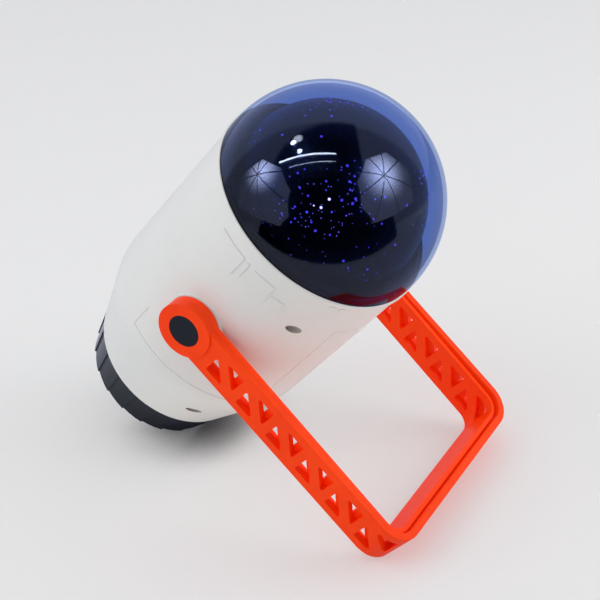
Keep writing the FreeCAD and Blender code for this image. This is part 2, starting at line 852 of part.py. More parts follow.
def shell_core():
    """The barrel as one filled solid, ending inside the thickness of its wall."""
    inset = dim.shell_wall / 2
    return revolved("shell_core", [
        (0.0, -dim.rim_depth, 0),
        (ledge_radius, -dim.rim_depth, 0),
        (ledge_radius, -dim.shoulder_drop, dim.shoulder_round),
        (dim.tail_radius - inset, -dim.barrel_length, 0),
        (0.0, -dim.barrel_length, 0),
    ])


def screw_spots():
    """Where the four shell screws stand: (across, drop, surface depth)."""
    spots = []
    for drop, radius in ((dim.screw_drop_top, dim.barrel_radius),
                         (dim.screw_drop_tail, tail_radius_at(dim.screw_drop_tail))):
        for side in (-1, 1):
            spots.append((side * radius * cosine(dim.screw_angle), drop,
                          radius * sine(dim.screw_angle)))
    return spots


def forward_cylinder(name, radius, x, y_from, y_to, z):
    """A cylinder along Y."""
    rod = bind(doc.addObject("Part::Cylinder", name), Radius=radius,
               Height=as_size(y_to) - y_from)
    return put(rod, x, y_from, z, X_AXIS, -90.0)


# Raised plates beside the left pivot: (first angle, last angle, low height, high height).
RELIEF_PLATES = (
    (159.0, 176.0, -24.0, -10.5),
    (178.0, 179.6, -21.0, -11.0),
    (183.0, 195.0, -22.0, -11.0),
    (196.6, 204.0, -26.0, -16.5),
    (221.5, 224.5, -6.5, -4.4),
    (227.0, 229.5, -6.5, -4.4),
)


def on_side(side, start, stop):
    """A span of angles on the left side (-1), or its mirror on the right side (1)."""
    return (start, stop) if side < 0 else (540.0 - stop, 540.0 - start)


def side_plates(side):
    """Raised plates of the panel relief near the rim, on one side of the barrel."""
    top = dim.barrel_radius + dim.relief_height
    made = []
    for index, (start, stop, low, high) in enumerate(RELIEF_PLATES):
        start, stop = on_side(side, start, stop)
        made.append(sector("plate_{}_{}".format(index, "left" if side < 0 else "right"), top,
                           ledge_radius, start, stop, low, high))
    return made


def side_grooves(side):
    """Panel groove below the pivot, with one leg up the barrel."""
    deep = dim.barrel_radius - dim.groove_depth
    beyond = dim.barrel_radius + dim.relief_height * 2
    half = dim.groove_width / 2
    ends = (dim.groove_start, dim.groove_start + dim.groove_span)
    leg_end = dim.groove_start + dim.groove_width / dim.barrel_radius * degrees
    runs = ((ends[0], ends[1], half), (ends[0], leg_end, dim.pad_radius))
    made = []
    for index, (start, stop, rise) in enumerate(runs):
        start, stop = on_side(side, start, stop)
        made.append(sector("groove_{}_{}".format(index, "left" if side < 0 else "right"),
                           beyond, deep, start, stop, -dim.groove_drop - half,
                           -dim.groove_drop + rise))
    return made


def shell_blank():
    """Both shells as one piece: wall, pivot pads, screw bosses and relief."""
    wall = shell_wall_body()
    bosses = []
    for index, (across, drop, depth) in enumerate(screw_spots()):
        boss = dim.screw_head_radius + dim.screw_boss_wall
        bosses.append(forward_cylinder("boss_{}".format(index), boss, across, -depth,
                                       depth, -drop))
    held = common("bosses_held", fuse("bosses_all", *bosses), shell_core())
    pads = [cross_cylinder("pad_right", dim.pad_radius, dim.pad_depth, pad_floor,
                           z=-dim.pivot_drop),
            cross_cylinder("pad_left", dim.pad_radius, dim.pad_depth, -pad_face,
                           z=-dim.pivot_drop)]
    rib_inside = shell_bore - dim.chassis_rib
    ribs = [tube("rib_" + side, ledge_radius, rib_inside, dim.chassis_rib, low)
            for side, low in (("above", dim.slide_gap - dim.chassis_drop),
                              ("below", chassis_low - dim.slide_gap - dim.chassis_rib))]
    solid = fuse("shell_solid", wall, held, *pads, *ribs, *side_plates(-1), *side_plates(1))
    stud_hole = cross_cylinder("stud_hole", stud_bore, pad_face * 2 + 2,
                               -pad_face - 1, z=-dim.pivot_drop)
    cuts = fuse("shell_cuts", stud_hole, *side_grooves(-1), *side_grooves(1))
    return cut("shell_blank", solid, cuts)


def half_space(name, y_from, y_to):
    reach = dim.barrel_radius * 1.2
    return box(name, -reach, reach, y_from, y_to, -neck_end - 1, 1.0)


def radial_set(name, pieces):
    """Pieces drawn along +X, turned together to the buttons' angle."""
    return put(gather(name, *pieces), angle=dim.button_angle)


def button_drops():
    return (dim.button_drop, dim.button_drop + dim.button_pitch)


def make_upper_shell(blank):
    """Upper shell: screw pilots, button holes and the board's posts."""
    reach = dim.barrel_radius * 1.2
    half = common("upper_half", blank, half_space("upper_space", dim.seam_gap / 2, reach))
    holes = [cross_cylinder("button_hole_{}".format(index), dim.button_radius + dim.ring_gap,
                            dim.barrel_radius, shell_bore - dim.button_radius, z=-drop)
             for index, drop in enumerate(button_drops())]
    pilots = [forward_cylinder("pilot_{}".format(index), dim.screw_shank_radius, across,
                               0.0, dim.screw_length - dim.screw_seat + 1, -drop)
              for index, (across, drop, _) in enumerate(screw_spots())]
    posts = []
    low, high = board_ends()
    for index, height in enumerate((low + dim.board_post_radius, high - dim.board_post_radius)):
        for side in (-1, 1):
            across = side * (dim.board_width / 2 - dim.board_post_radius)
            posts.append(cross_cylinder("post_{}_{}".format(index, side), dim.board_post_radius,
                                        shell_bore - board_face + dim.shell_wall / 2,
                                        board_face, across, height))
    with_posts = fuse("upper_posts", half, radial_set("posts_turned", posts))
    tools = fuse("upper_tools", radial_set("button_holes_turned", holes), *pilots)
    finish_in_barrel(cut("upper_shell_shape", with_posts, tools), "shell_upper")


def make_lower_shell(blank):
    """Lower shell: screw wells and the battery door's opening."""
    reach = dim.barrel_radius * 1.2
    half = common("lower_half", blank, half_space("lower_space", -reach, -dim.seam_gap / 2))
    wells = []
    for index, (across, drop, _) in enumerate(screw_spots()):
        wells.append(forward_cylinder("well_{}".format(index),
                                      dim.screw_head_radius + dim.slide_gap * 2, across,
                                      -reach, -dim.screw_seat, -drop))
        wells.append(forward_cylinder("clearance_{}".format(index),
                                      dim.screw_shank_radius + dim.slide_gap, across,
                                      -dim.screw_seat - 1, 1.0, -drop))
    opening = door_plate("door_opening", reach, ledge_radius, Size(0.0))
    way_in = door_plate("door_way_in", reach, shell_bore - dim.chassis_rib - 1,
                        dim.door_ledge)
    finish_in_barrel(cut("lower_shell_shape", half,
                         fuse("lower_tools", opening, way_in, *wells)), "shell_lower")


def make_shell_screws():
    """Four screws that close the shells, sunk in their wells."""
    screws = []
    for index, (across, drop, _) in enumerate(screw_spots()):
        name = "shell_screw_{}".format(index + 1)
        head = forward_cylinder(name + "_head", dim.screw_head_radius, across,
                                -dim.screw_seat - dim.screw_head_thick, -dim.screw_seat, -drop)
        shank = forward_cylinder(name + "_shank", dim.screw_shank_radius, across,
                                 -dim.screw_seat, dim.screw_length - dim.screw_seat, -drop)
        slot_half = dim.screw_shank_radius / 4
        slot = box(name + "_slot", across - dim.screw_head_radius,
                   across + dim.screw_head_radius,
                   -dim.screw_seat - dim.screw_head_thick - 1,
                   -dim.screw_seat - dim.screw_head_thick / 2, -drop - slot_half,
                   -drop + slot_half)
        screws.append(cut(name + "_shape", fuse(name + "_solid", head, shank), slot))
    finish_in_barrel(gather("shell_screws_shape", *screws), "shell_screws")


# ---------------------------------------------------------------- buttons and board

button_top = dim.barrel_radius + dim.button_proud
flange_top = shell_bore - dim.clear_gap * 2
flange_low = flange_top - dim.button_flange
board_face = flange_low - dim.button_travel - dim.ring_gap - dim.switch_height


def board_ends():
    low = -dim.button_drop - dim.button_pitch - dim.board_margin
    return low, -dim.button_drop + dim.board_margin


def make_buttons():
    """Two round push buttons with a flange behind the shell."""
    for label, drop in zip(("button_power", "button_turn"), button_drops()):
        stem = cross_cylinder(label + "_stem", dim.button_radius, button_top - flange_low,
                              flange_low, z=-drop)
        flange = cross_cylinder(label + "_flange", dim.button_radius + dim.slide_gap * 12,
                                dim.button_flange, flange_low, z=-drop)
        turned = put(fuse(label + "_fused", stem, flange), angle=dim.button_angle)
        group = doc.addObject("Part::Compound", label + "_shape")
        group.Links = [turned]
        finish_in_barrel(group, label)


def make_board():
    """Control board behind the buttons, with one switch under each."""
    low, high = board_ends()
    half = dim.board_width / 2
    board = box("board_plate", board_face - dim.board_thick, board_face, -half, half, low, high)
    finish_in_barrel(gather("board_shape", radial_set("board_turned", [board])),
                     "control_board")
    switches = [box("switch_{}".format(index), board_face, board_face + dim.switch_height,
                    -dim.switch_half, dim.switch_half, -drop - dim.switch_half,
                    -drop + dim.switch_half)
                for index, drop in enumerate(button_drops())]
    finish_in_barrel(gather("switches_shape", radial_set("switches_turned", switches)),
                     "board_switches")


# ---------------------------------------------------------------- tail ring and foot

def sawtooth_wire(radius, height):
    """One turn of the grip's teeth: each climbs outward and then steps back in."""
    teeth = int(dim.ring_teeth.value)
    steps = 3
    turn = 2 * math.pi / teeth
    start = math.radians(dim.ring_phase.value)
    points = []
    for tooth in range(teeth):
        for step in range(steps + 1):
            climb = step / steps
            reach = radius - dim.tooth_step.value * (1 - climb)
            spot = polar(reach, start + turn * (tooth + climb))
            points.append(spot + FreeCAD.Vector(0, 0, height))
    points.append(points[0])
    return Part.makePolygon(points)


def make_tail_ring():
    """Charcoal twist ring on the neck, with a saw-toothed grip."""
    top = -dim.barrel_length - dim.ring_gap
    low = -ring_floor
    grip = doc.addObject("Part::Feature", "tail_ring_grip")
    grip.Shape = Part.makeLoft([sawtooth_wire(dim.ring_end_radius.value, low.value),
                                sawtooth_wire(dim.tail_radius.value, top.value)], True, True)
    bore = dim.neck_radius + dim.slide_gap
    neck_room = cylinder("ring_neck_room", bore, neck_end + dim.ring_gap + top + 1,
                         -neck_end - dim.ring_gap)
    lip_bore = cylinder("ring_lip_bore", dim.neck_radius - dim.neck_wall + dim.ring_gap,
                        dim.ring_lip + 2, -foot_plate_top - 1)
    foot_room = cylinder("ring_foot_room", bore, dim.ring_length,
                         -foot_plate_top + dim.ring_gap - dim.ring_length)
    hollow = fuse("ring_hollow", neck_room, lip_bore, foot_room)
    finish_in_barrel(cut("tail_ring_shape", grip, hollow), "tail_ring")


def make_foot_plate():
    """Plate that closes the neck and keeps the twist ring on it."""
    flange = cylinder("foot_flange", dim.neck_radius - dim.ring_gap, dim.foot_plate_thick,
                      -foot_plate_top - dim.foot_plate_thick)
    plug_radius = dim.neck_radius - dim.neck_wall - dim.slide_gap
    plug = tube("foot_plug", plug_radius, plug_radius - dim.neck_wall,
                dim.foot_plug_length + foot_plate_top - neck_end, -foot_plate_top)
    finish_in_barrel(fuse("foot_plate_shape", flange, plug), "foot_plate")


def make_feet():
    """Rubber feet under the foot plate."""
    low = -foot_plate_top - dim.foot_plate_thick - dim.foot_height
    feet = []
    for index in range(int(dim.foot_count.value)):
        turn = 45.0 + 360.0 / dim.foot_count.value * index
        feet.append(cylinder("foot_{}".format(index), dim.foot_radius, dim.foot_height, low,
                             dim.foot_circle * cosine(turn), dim.foot_circle * sine(turn)))
    finish_in_barrel(gather("feet_shape", *feet), "rubber_feet")


# ---------------------------------------------------------------- bails and pivots

def side_edges(shape):
    """Names of the edges that run round a bail's two side faces."""
    names = []
    for index, edge in enumerate(shape.Edges, start=1):
        bounds = edge.BoundBox
        if bounds.YLength < CLOSE and abs(abs(bounds.YMin) - half_width.value) < CLOSE:
            names.append("Edge{}".format(index))
    return names


def triangle(kind, start):
    """Corners of one lattice hole: (across, along, round)."""
    leg, side = dim.lattice_leg, dim.lattice_half
    radius = dim.lattice_round
    if kind == "low":
        return [(-side, start, radius), (leg - side, start, radius),
                (-side, start + leg, radius)]
    top = start + lattice_pitch - lattice_pitch / 4.5
    return [(side, top, radius), (side - leg, top, radius), (side, top - leg, radius)]


def pierce(body, name, kind, side, inside, start):
    """A row of lattice holes through one arm, cut outward from inside the bail."""
    sketch = new_sketch(body, name + "_outline", "YZ_Plane", side * (inside - dim.lattice_leg))
    outline(sketch, triangle(kind, start))
    pocket = body.newObject("PartDesign::Pocket", name + "_hole")
    pocket.Profile = sketch
    pocket.Reversed = side > 0
    bind(pocket, Length=eye_face - inside + dim.lattice_leg * 2)
    row = body.newObject("PartDesign::LinearPattern", name + "_row")
    row.Originals = [pocket]
    row.Direction = (plane_of(body, "Z_Axis"), [""])
    row.Occurrences = int(dim.lattice_bays.value)
    bind(row, Length=lattice_pitch * (dim.lattice_bays - 1))
    body.Tip = row


def left_and_right(name, radius, start, stop):
    """A pair of cylinders along X, one at each pivot."""
    return [cross_cylinder(name + "_left", radius, stop - start, -stop),
            cross_cylinder(name + "_right", radius, stop - start, start)]


def bail(name, inside, wall, reach, corner, eye_from, eye_to, start):
    """A U-shaped lattice frame with an eye at each pivot, still without its bores."""
    outside = inside + wall
    body = padded(name, [
        (outside, 0.0, 0),
        (outside, reach, corner),
        (-outside, reach, corner),
        (-outside, 0.0, 0),
        (-inside, 0.0, 0),
        (-inside, reach - wall, corner - wall),
        (inside, reach - wall, corner - wall),
        (inside, 0.0, 0),
    ], "XZ_Plane", dim.arm_width)
    doc.recompute()
    round_edges(body, name + "_rounds", side_edges(body.Tip.Shape), dim.edge_round)
    for side, word in ((-1, "left"), (1, "right")):
        for kind in ("low", "high"):
            pierce(body, "_".join((name, word, kind)), kind, side, inside, start)
    eyes = left_and_right(name + "_eye", dim.eye_radius, eye_from, eye_to)
    return fuse(name + "_solid", body, *eyes)


def make_handle():
    """Outer bail: the carrying handle, with a sunk eye for its cap at each pivot."""
    solid = bail("handle", prop_outside + dim.bail_gap, dim.handle_wall, dim.handle_reach,
                 dim.corner_round, prop_outside + dim.eye_gap, eye_face,
                 dim.lattice_start)
    bores = left_and_right("handle_bore", stud_bore, prop_outside, eye_face)
    sinks = left_and_right("handle_sink", dim.cap_radius, eye_floor, eye_face + 1)
    finish_in_handle(cut("handle_shape", solid, fuse("handle_bores", *bores, *sinks)),
                     "handle_frame")


def make_prop():
    """Inner bail: the stand frame nested in the handle, swung part of the way down."""
    solid = bail("prop", bail_inside, dim.prop_wall, prop_reach,
                 dim.corner_round - dim.handle_wall - dim.bail_gap, bail_inside,
                 prop_outside, dim.lattice_start - dim.prop_lead)
    bores = left_and_right("prop_bore", stud_bore, bail_inside - 1, prop_outside + 1)
    finish_in_handle(cut("prop_shape", solid, fuse("prop_bores", *bores)), "prop_frame",
                     prop_lag)


def make_caps():
    """Round charcoal caps pressed into the handle's eyes."""
    caps = left_and_right("cap", dim.cap_radius, cap_floor, eye_face)
    for cap, word in zip(caps, ("left", "right")):
        finish_in_handle(gather("cap_shape_" + word, cap), "pivot_cap_" + word)


def make_pivots():
    """Studs held in the shells' pads, with the washers and screws outside them."""
    drop = -dim.pivot_drop
    head_end = pad_floor - dim.slide_gap
    heads = left_and_right("stud_head", dim.stud_head_radius, head_end - dim.stud_head_thick,
                           head_end)
    shafts = left_and_right("stud_shaft", dim.stud_radius, head_end, stud_end)
    screw_tip = stud_end - dim.stud_screw_length
    threads = left_and_right("stud_thread", dim.stud_screw_radius, screw_tip, stud_end + 1)
    for index, word in enumerate(("left", "right")):
        solid = fuse("stud_solid_" + word, heads[index], shafts[index])
        stud = cut("stud_" + word, solid, threads[index])
        finish_in_barrel(gather("stud_shape_" + word, put(stud, z=drop)),
                         "pivot_stud_" + word)
    washer_end = stud_end + dim.washer_thick
    washers = paired_rings("stud_washer", dim.washer_radius, dim.stud_screw_radius, stud_end,
                           washer_end)
    finish_in_barrel(washers, "stud_washers")
    head_from = left_and_right("screw_head", dim.stud_screw_head, washer_end,
                               cap_floor - dim.eye_gap)
    shanks = left_and_right("screw_shank", dim.stud_screw_radius, screw_tip, washer_end)
    screws = [put(fuse("stud_screw_" + word, head_from[index], shanks[index]), z=drop)
              for index, word in enumerate(("left", "right"))]
    finish_in_barrel(gather("stud_screws_shape", *screws), "stud_screws")
    friction = paired_rings("friction_ring", dim.friction_radius, stud_bore, pad_face,
                            bail_inside - dim.slide_gap / 2)
    finish_in_barrel(friction, "friction_washers")


def paired_rings(name, outer, inner, start, stop):
    """Two flat rings at the height of the pivots, one on each side."""
    discs = left_and_right(name + "_disc", outer, start, stop)
    holes = left_and_right(name + "_hole", inner, start - 1, stop + 1)
    rings = [put(cut("{}_{}".format(name, word), discs[index], holes[index]),
                 z=-dim.pivot_drop)
             for index, word in enumerate(("left", "right"))]
    return gather(name + "_pair", *rings)


# ---------------------------------------------------------------- build and export

def main():
    make_dome()
    make_rim_ring()
    make_deck_ring()
    make_star_platter()
    make_star_hood()
    make_star_points()
    make_star_gear()
    make_pinion()
    make_lamp_column()
    make_chassis()
    make_lamp()
    make_motor()
    make_tray()
    make_cells()
    make_contacts()
    make_door()
    blank = shell_blank()
    make_upper_shell(blank)
    make_lower_shell(blank)
    make_shell_screws()
    make_buttons()
    make_board()
    make_tail_ring()
    make_foot_plate()
    make_feet()
    make_handle()
    make_prop()
    make_caps()
    make_pivots()
    doc.recompute()
    check_all()
    export_all()


def check_all():
    """Stop if any object failed to build or any sub-part's shape is not sound."""
    for thing in doc.Objects:
        if "Invalid" in thing.State or "Error" in thing.State:
            raise ValueError("{} did not build: {}".format(thing.Name, thing.State))
    for thing in sub_parts:
        if thing.Shape.isNull() or not thing.Shape.isValid():
            raise ValueError("{} is not a sound shape".format(thing.Label))
        if not thing.Shape.Solids:
            raise ValueError("{} has no solid".format(thing.Label))


def export_all():
    os.makedirs("parts", exist_ok=True)
    for thing in sub_parts:
        thing.Shape.exportStep("parts/{}.step".format(thing.Label))
        print("{:20s} solids {:3d}  volume {:10.1f}".format(
            thing.Label, len(thing.Shape.Solids), thing.Shape.Volume))


main()
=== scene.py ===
# %% [markdown]
# A planetarium projector lying back on its handle.
# A real one is a white moulded barrel with a deep blue dome over a black star deck, a
# charcoal twist ring at its tail, and two nested orange bails that carry and prop it.
# The construction is ready made; these cells give it its finishes, its fine shapes, its
# light and its camera.

# %% Load the frame
import json
import math
import random

import bmesh
import bpy
from mathutils import Matrix, Vector

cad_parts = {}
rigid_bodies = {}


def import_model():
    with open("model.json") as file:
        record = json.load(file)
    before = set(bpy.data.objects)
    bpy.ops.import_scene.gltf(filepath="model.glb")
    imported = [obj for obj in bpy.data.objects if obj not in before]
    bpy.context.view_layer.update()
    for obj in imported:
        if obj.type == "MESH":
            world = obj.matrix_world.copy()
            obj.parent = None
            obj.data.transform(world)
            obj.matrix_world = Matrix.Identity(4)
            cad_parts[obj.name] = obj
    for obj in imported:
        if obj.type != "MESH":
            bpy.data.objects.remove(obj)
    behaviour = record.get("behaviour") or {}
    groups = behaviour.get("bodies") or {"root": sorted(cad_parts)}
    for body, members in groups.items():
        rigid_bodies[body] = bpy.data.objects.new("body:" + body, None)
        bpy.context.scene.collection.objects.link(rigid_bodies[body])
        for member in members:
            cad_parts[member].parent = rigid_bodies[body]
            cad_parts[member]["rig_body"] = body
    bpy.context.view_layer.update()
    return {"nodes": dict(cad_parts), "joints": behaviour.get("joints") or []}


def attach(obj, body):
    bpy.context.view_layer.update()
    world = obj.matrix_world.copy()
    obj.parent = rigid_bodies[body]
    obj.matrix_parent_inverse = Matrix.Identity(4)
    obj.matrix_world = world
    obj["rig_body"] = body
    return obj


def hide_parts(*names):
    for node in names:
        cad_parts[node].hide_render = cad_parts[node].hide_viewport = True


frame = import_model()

nodes = frame["nodes"]
joints = {joint["name"]: joint for joint in frame["joints"]}

# %% [markdown]
# The barrel leans back, so its own directions aren't the world's.  A part that is turned on
# a lathe is best described along its own axis: up the barrel, across the pivots and front
# to back.  The axis is read from the dome's slide and the tail ring's hinge, so that
# nothing here has to be measured twice.

# %% The barrel's own frame
UP = Vector(joints["dome_lift"]["axis"]).normalized()
LEAN = math.atan2(-UP.y, UP.z)
FROM_BARREL = Matrix.Rotation(LEAN, 3, "X")
INTO_BARREL = Matrix.Rotation(-LEAN, 3, "X")
RING_TO_RIM = 0.160
RIM = Vector(joints["ring_turn"]["pos_m"]) + UP * RING_TO_RIM
print("lean", round(math.degrees(LEAN), 2), "rim", [round(v, 4) for v in RIM])

# %% [markdown]
# A long lens keeps the barrel's sides nearly parallel, as in a catalogue picture.  The
# camera stands up and to the left, above the dome, and is rolled by two degrees.  Building
# its matrix from a view direction and a roll is plainer than guessing three angles.

# %% Camera
EYE = Vector((-0.51408, -0.32543, 0.45259))
TARGET = Vector((-0.02821, -0.03368, 0.11680))
ROLL = math.radians(-2.17)
FOCAL_LENGTH_MM = 80.706


def aim(eye, target, roll):
    """The matrix of a camera at eye that looks at target."""
    back = (eye - target).normalized()
    level = Vector((0, 0, 1)).cross(back).normalized()
    rise = back.cross(level)
    right = level * math.cos(roll) + rise * math.sin(roll)
    top = back.cross(right)
    turn = Matrix((right, top, back)).transposed().to_4x4()
    return Matrix.Translation(eye) @ turn


camera_data = bpy.data.cameras.new("catalogue_camera")
camera_data.sensor_width = 36.0
camera_data.lens = FOCAL_LENGTH_MM
camera_data.clip_start = 0.01
camera = bpy.data.objects.new("catalogue_camera", camera_data)
camera.matrix_world = aim(EYE, TARGET, ROLL)
bpy.context.scene.collection.objects.link(camera)
bpy.context.scene.camera = camera
TO_CAMERA = (EYE - TARGET).normalized()
print("camera", round((EYE - TARGET).length, 3), "m away")

# %% [markdown]
# Every finish below is a small sum on masks and colours.  Written as nodes, such sums are
# hard to read, so a wire stands for one socket and knows the usual signs: each sign adds
# its Math node.  Everything else comes from one method of the bench that holds the node
# tree.

# %% Wires and the bench
class Wire:
    """One output socket; arithmetic on it adds Math nodes."""

    def __init__(self, bench, socket):
        self.bench = bench
        self.socket = socket

    def maths(self, operation, *others):
        inputs = dict(enumerate((self,) + others))
        return self.bench.node("ShaderNodeMath", {"operation": operation}, inputs)

    def __add__(self, other):
        return self.maths("ADD", other)

    def __radd__(self, other):
        return self.maths("ADD", other)

    def __sub__(self, other):
        return self.maths("SUBTRACT", other)

    def __rsub__(self, other):
        return self.maths("MULTIPLY_ADD", -1.0, other)

    def __mul__(self, other):
        return self.maths("MULTIPLY", other)

    def __rmul__(self, other):
        return self.maths("MULTIPLY", other)

    def __truediv__(self, other):
        return self.maths("DIVIDE", other)

    def __pow__(self, other):
        return self.maths("POWER", other)

    def highest(self, other):
        return self.maths("MAXIMUM", other)

    def between(self, low, high, smooth=True):
        """0 below low, 1 above high, and a ramp between them."""
        shape = "SMOOTHSTEP" if smooth else "LINEAR"
        return self.bench.node("ShaderNodeMapRange", {"interpolation_type": shape},
                               {0: self, 1: low, 2: high})


class Bench:
    """A node tree and the one way to put a node on it."""

    def __init__(self, tree):
        self.tree = tree
        tree.nodes.clear()

    def feed(self, socket, value):
        if isinstance(value, Wire):
            self.tree.links.new(value.socket, socket)
        elif socket.type == "RGBA" and len(value) == 3:
            socket.default_value = (*value, 1.0)
        else:
            socket.default_value = value

    def node(self, kind, settings=None, sockets=None, output=0):
        made = self.tree.nodes.new(kind)
        for name, value in (settings or {}).items():
            setattr(made, name, value)
        for key, value in (sockets or {}).items():
            self.feed(made.inputs[key], value)
        return Wire(self, made.outputs[output]) if made.outputs else None

    def blend(self, amount, low, high):
        """Mix two colours by an amount."""
        return self.node("ShaderNodeMix", {"data_type": "RGBA"},
                         {0: amount, 6: low, 7: high}, 2)

    def noise(self, place, scale, detail=2.0, roughness=0.5):
        return self.node("ShaderNodeTexNoise", {},
                         {"Vector": place, "Scale": scale, "Detail": detail,
                          "Roughness": roughness})

    def dot(self, first, second):
        return self.node("ShaderNodeVectorMath", {"operation": "DOT_PRODUCT"},
                         {0: first, 1: second}, 1)

    def bump(self, height, distance, strength=1.0, normal=None):
        sockets = {"Height": height, "Distance": distance, "Strength": strength}
        if normal:
            sockets["Normal"] = normal
        return self.node("ShaderNodeBump", {}, sockets)


print("bench ready")

# %% [markdown]
# A finish is a material with a bench on its tree.  Patterns are laid out in the object's
# own coordinates, so that they move with the part; `lathe_place` gives the same point in
# the barrel's frame, where turned marks run round the axis.  `principled` takes the shader's
# own socket names, with an underscore for each space.

# %% Finish helpers
def new_finish(name):
    material = bpy.data.materials.new(name)
    material.use_nodes = True
    return material, Bench(material.node_tree)


def part_place(bench):
    """The point on the part, in metres, in the standing pose."""
    return bench.node("ShaderNodeTexCoord", {}, {}, "Object")


def lathe_place(bench):
    """The same point in the barrel's frame."""
    return bench.node("ShaderNodeMapping", {},
                      {"Vector": part_place(bench), "Location": -(INTO_BARREL @ RIM),
                       "Rotation": (-LEAN, 0.0, 0.0)})


def show(bench, shader):
    bench.node("ShaderNodeOutputMaterial", {}, {"Surface": shader})


def principled(bench, **sockets):
    named = {key.replace("_", " "): value for key, value in sockets.items()}
    show(bench, bench.node("ShaderNodeBsdfPrincipled", {}, named))


print("finish helpers ready")

# %% [markdown]
# The four shell screws sit at the bottom of deep wells.  The white plastic inside them is
# painted grey, a painted shade for the deep wells.  The wells run front to back, so a point
# is inside one when it is close to a screw's axis.  Their places are read from the screws
# themselves: an upper row and a lower row, each with one screw on the left and one on the
# right.

# %% Screw wells
WELL_RADIUS = (0.00258, 0.00272)
WELL_MOUTH = (-0.004, -0.002)


def in_screw_wells(bench):
    """1 inside the deep wells of the lower shell, where the shell screws sit."""
    spots = [INTO_BARREL @ (vert.co - RIM) for vert in nodes["shell_screws"].data.vertices]
    place = lathe_place(bench)
    across = bench.node("ShaderNodeSeparateXYZ", {}, {0: place}, 0).maths("ABSOLUTE")
    forward = bench.node("ShaderNodeSeparateXYZ", {}, {0: place}, 1)
    along = bench.node("ShaderNodeSeparateXYZ", {}, {0: place}, 2)
    split = sum(spot.z for spot in spots) / len(spots)
    away = []
    for row in ([s for s in spots if s.z > split], [s for s in spots if s.z <= split]):
        side = (min(abs(s.x) for s in row) + max(abs(s.x) for s in row)) / 2
        drop = (min(s.z for s in row) + max(s.z for s in row)) / 2
        aside = across - side
        below = along - drop
        away.append((aside * aside + below * below) ** 0.5)
    nearest = away[0].maths("MINIMUM", away[1])
    return (1.0 - nearest.between(*WELL_RADIUS)) * (1.0 - forward.between(*WELL_MOUTH))


print("wells of", len(nodes["shell_screws"].data.vertices), "points")

# %% [markdown]
# Moulded plastic is never one flat tone.  The steel of the mould leaves a fine spark-eroded
# grain, the melt cools in soft swells, and the colour clouds a little where it flowed.  One
# recipe covers all the plastics: cloud is how far the tone drifts, towards tint where one is
# given; grain is the fine bump; swell is the slow one; gloss is the middle roughness.

# %% Moulded plastic
BLACK = (0.0, 0.0, 0.0)


def moulded(name, colour, gloss, cloud=0.03, grain=0.000012, swell=0.00006, tint=None,
            specular=0.5, glow=0.0, light=(1.0, 0.02, 0.0), well_shade=None, painted_bounce=None):
    """A moulded plastic: colour, roughness, and how much each fault shows.

    glow is the strength of a painted glow and light is its colour; on the bails it stands for
    light seeping through their thin walls.  The well colour is a painted shade that darkens
    the screw wells.  The underside colour, when given, is instead the colour of a painted
    glow on the faces that look down, standing for the soft light a pale floor sends up.
    """
    material, bench = new_finish(name)
    place = part_place(bench)
    slow = bench.noise(place, 26.0, 3.0)
    middle = bench.noise(place, 190.0, 3.0)
    fine = bench.noise(place, 2600.0, 2.0)
    darker = tuple(channel * (1 - 2 * cloud) for channel in (tint or colour))
    lighter = tuple(min(1.0, channel * (1 + cloud)) for channel in colour)
    tone = bench.blend((slow * 0.7 + middle * 0.3).between(0.3, 0.7), darker, lighter)
    rough = gloss + (middle - 0.5) * 0.16 + (fine - 0.5) * 0.06
    swells = bench.bump(slow, swell, 0.5)
    grains = bench.bump(fine, grain, 0.6, swells)
    # Painted shade: the white is painted grey inside the screw wells.
    if well_shade:
        tone = bench.blend(in_screw_wells(bench), tone, well_shade)
    # Painted light: with an underside colour, the faces that look down glow, standing for
    # light bounced up from the floor.
    if painted_bounce:
        outward = bench.node("ShaderNodeNewGeometry", {}, {}, "Normal")
        downward = bench.dot(outward, (0.0, 0.0, -1.0)).between(0.05, 0.65)
        light = bench.blend(downward, BLACK, painted_bounce)
    principled(bench, Base_Color=tone, Roughness=rough, Normal=grains,
               Specular_IOR_Level=specular, Emission_Strength=glow, Emission_Color=light)
    return material


# The white shell's glow is painted light on its downward faces, and its screw wells are
# painted grey as painted shade.
WHITE_SHELL = moulded("white_shell_finish", (0.73, 0.738, 0.722), 0.36, cloud=0.012,
                      well_shade=(0.36, 0.335, 0.31), glow=0.10, painted_bounce=(1.0, 0.95, 0.68))
# Painted glow: the bails glow a faint red of their own, standing for light seeping through
# their thin walls; the inner bail is a copy that glows about four times as strongly, to lift
# its shaded face.
ORANGE = moulded("orange_bail_finish", (1.0, 0.058, 0.002), 0.42, cloud=0.03,
                 tint=(0.97, 0.048, 0.002), specular=0.12, glow=0.03)
ORANGE_INSIDE_GLOWING = moulded("orange_inner_bail_painted_glow", (1.0, 0.062, 0.003), 0.42, cloud=0.03,
                        tint=(0.97, 0.052, 0.003), specular=0.12, glow=0.125)
CAP_BLUE = moulded("cap_slate_finish", (0.008, 0.011, 0.018), 0.46, cloud=0.10,
                   grain=0.00003, specular=0.20)
INNER = moulded("inner_plastic_finish", (0.015, 0.015, 0.016), 0.5, cloud=0.04)
STUD = moulded("stud_plastic_finish", (0.011, 0.011, 0.012), 0.45, cloud=0.05)
GEAR = moulded("gear_acetal_finish", (0.74, 0.72, 0.64), 0.35, cloud=0.04)
RUBBER = moulded("foot_rubber_finish", (0.018, 0.018, 0.019), 0.75, cloud=0.15,
                 grain=0.00008)
print("plastics", 8)

# %% [markdown]
# The twist ring and the tail plate are a deeper, slate black with a satin skin.  Such a skin
# is so finely rough that it hardly mirrors at a grazing angle, where the usual shader would
# turn it grey.  So this finish is mixed by hand: a dark matt body, and a weak broad mirror
# whose share grows only a little towards the edge, and only clearly above the floor; towards
# the floor that growth is taken away as painted shade.

# %% Satin slate
SHEEN_HEIGHT = (0.008, 0.055)


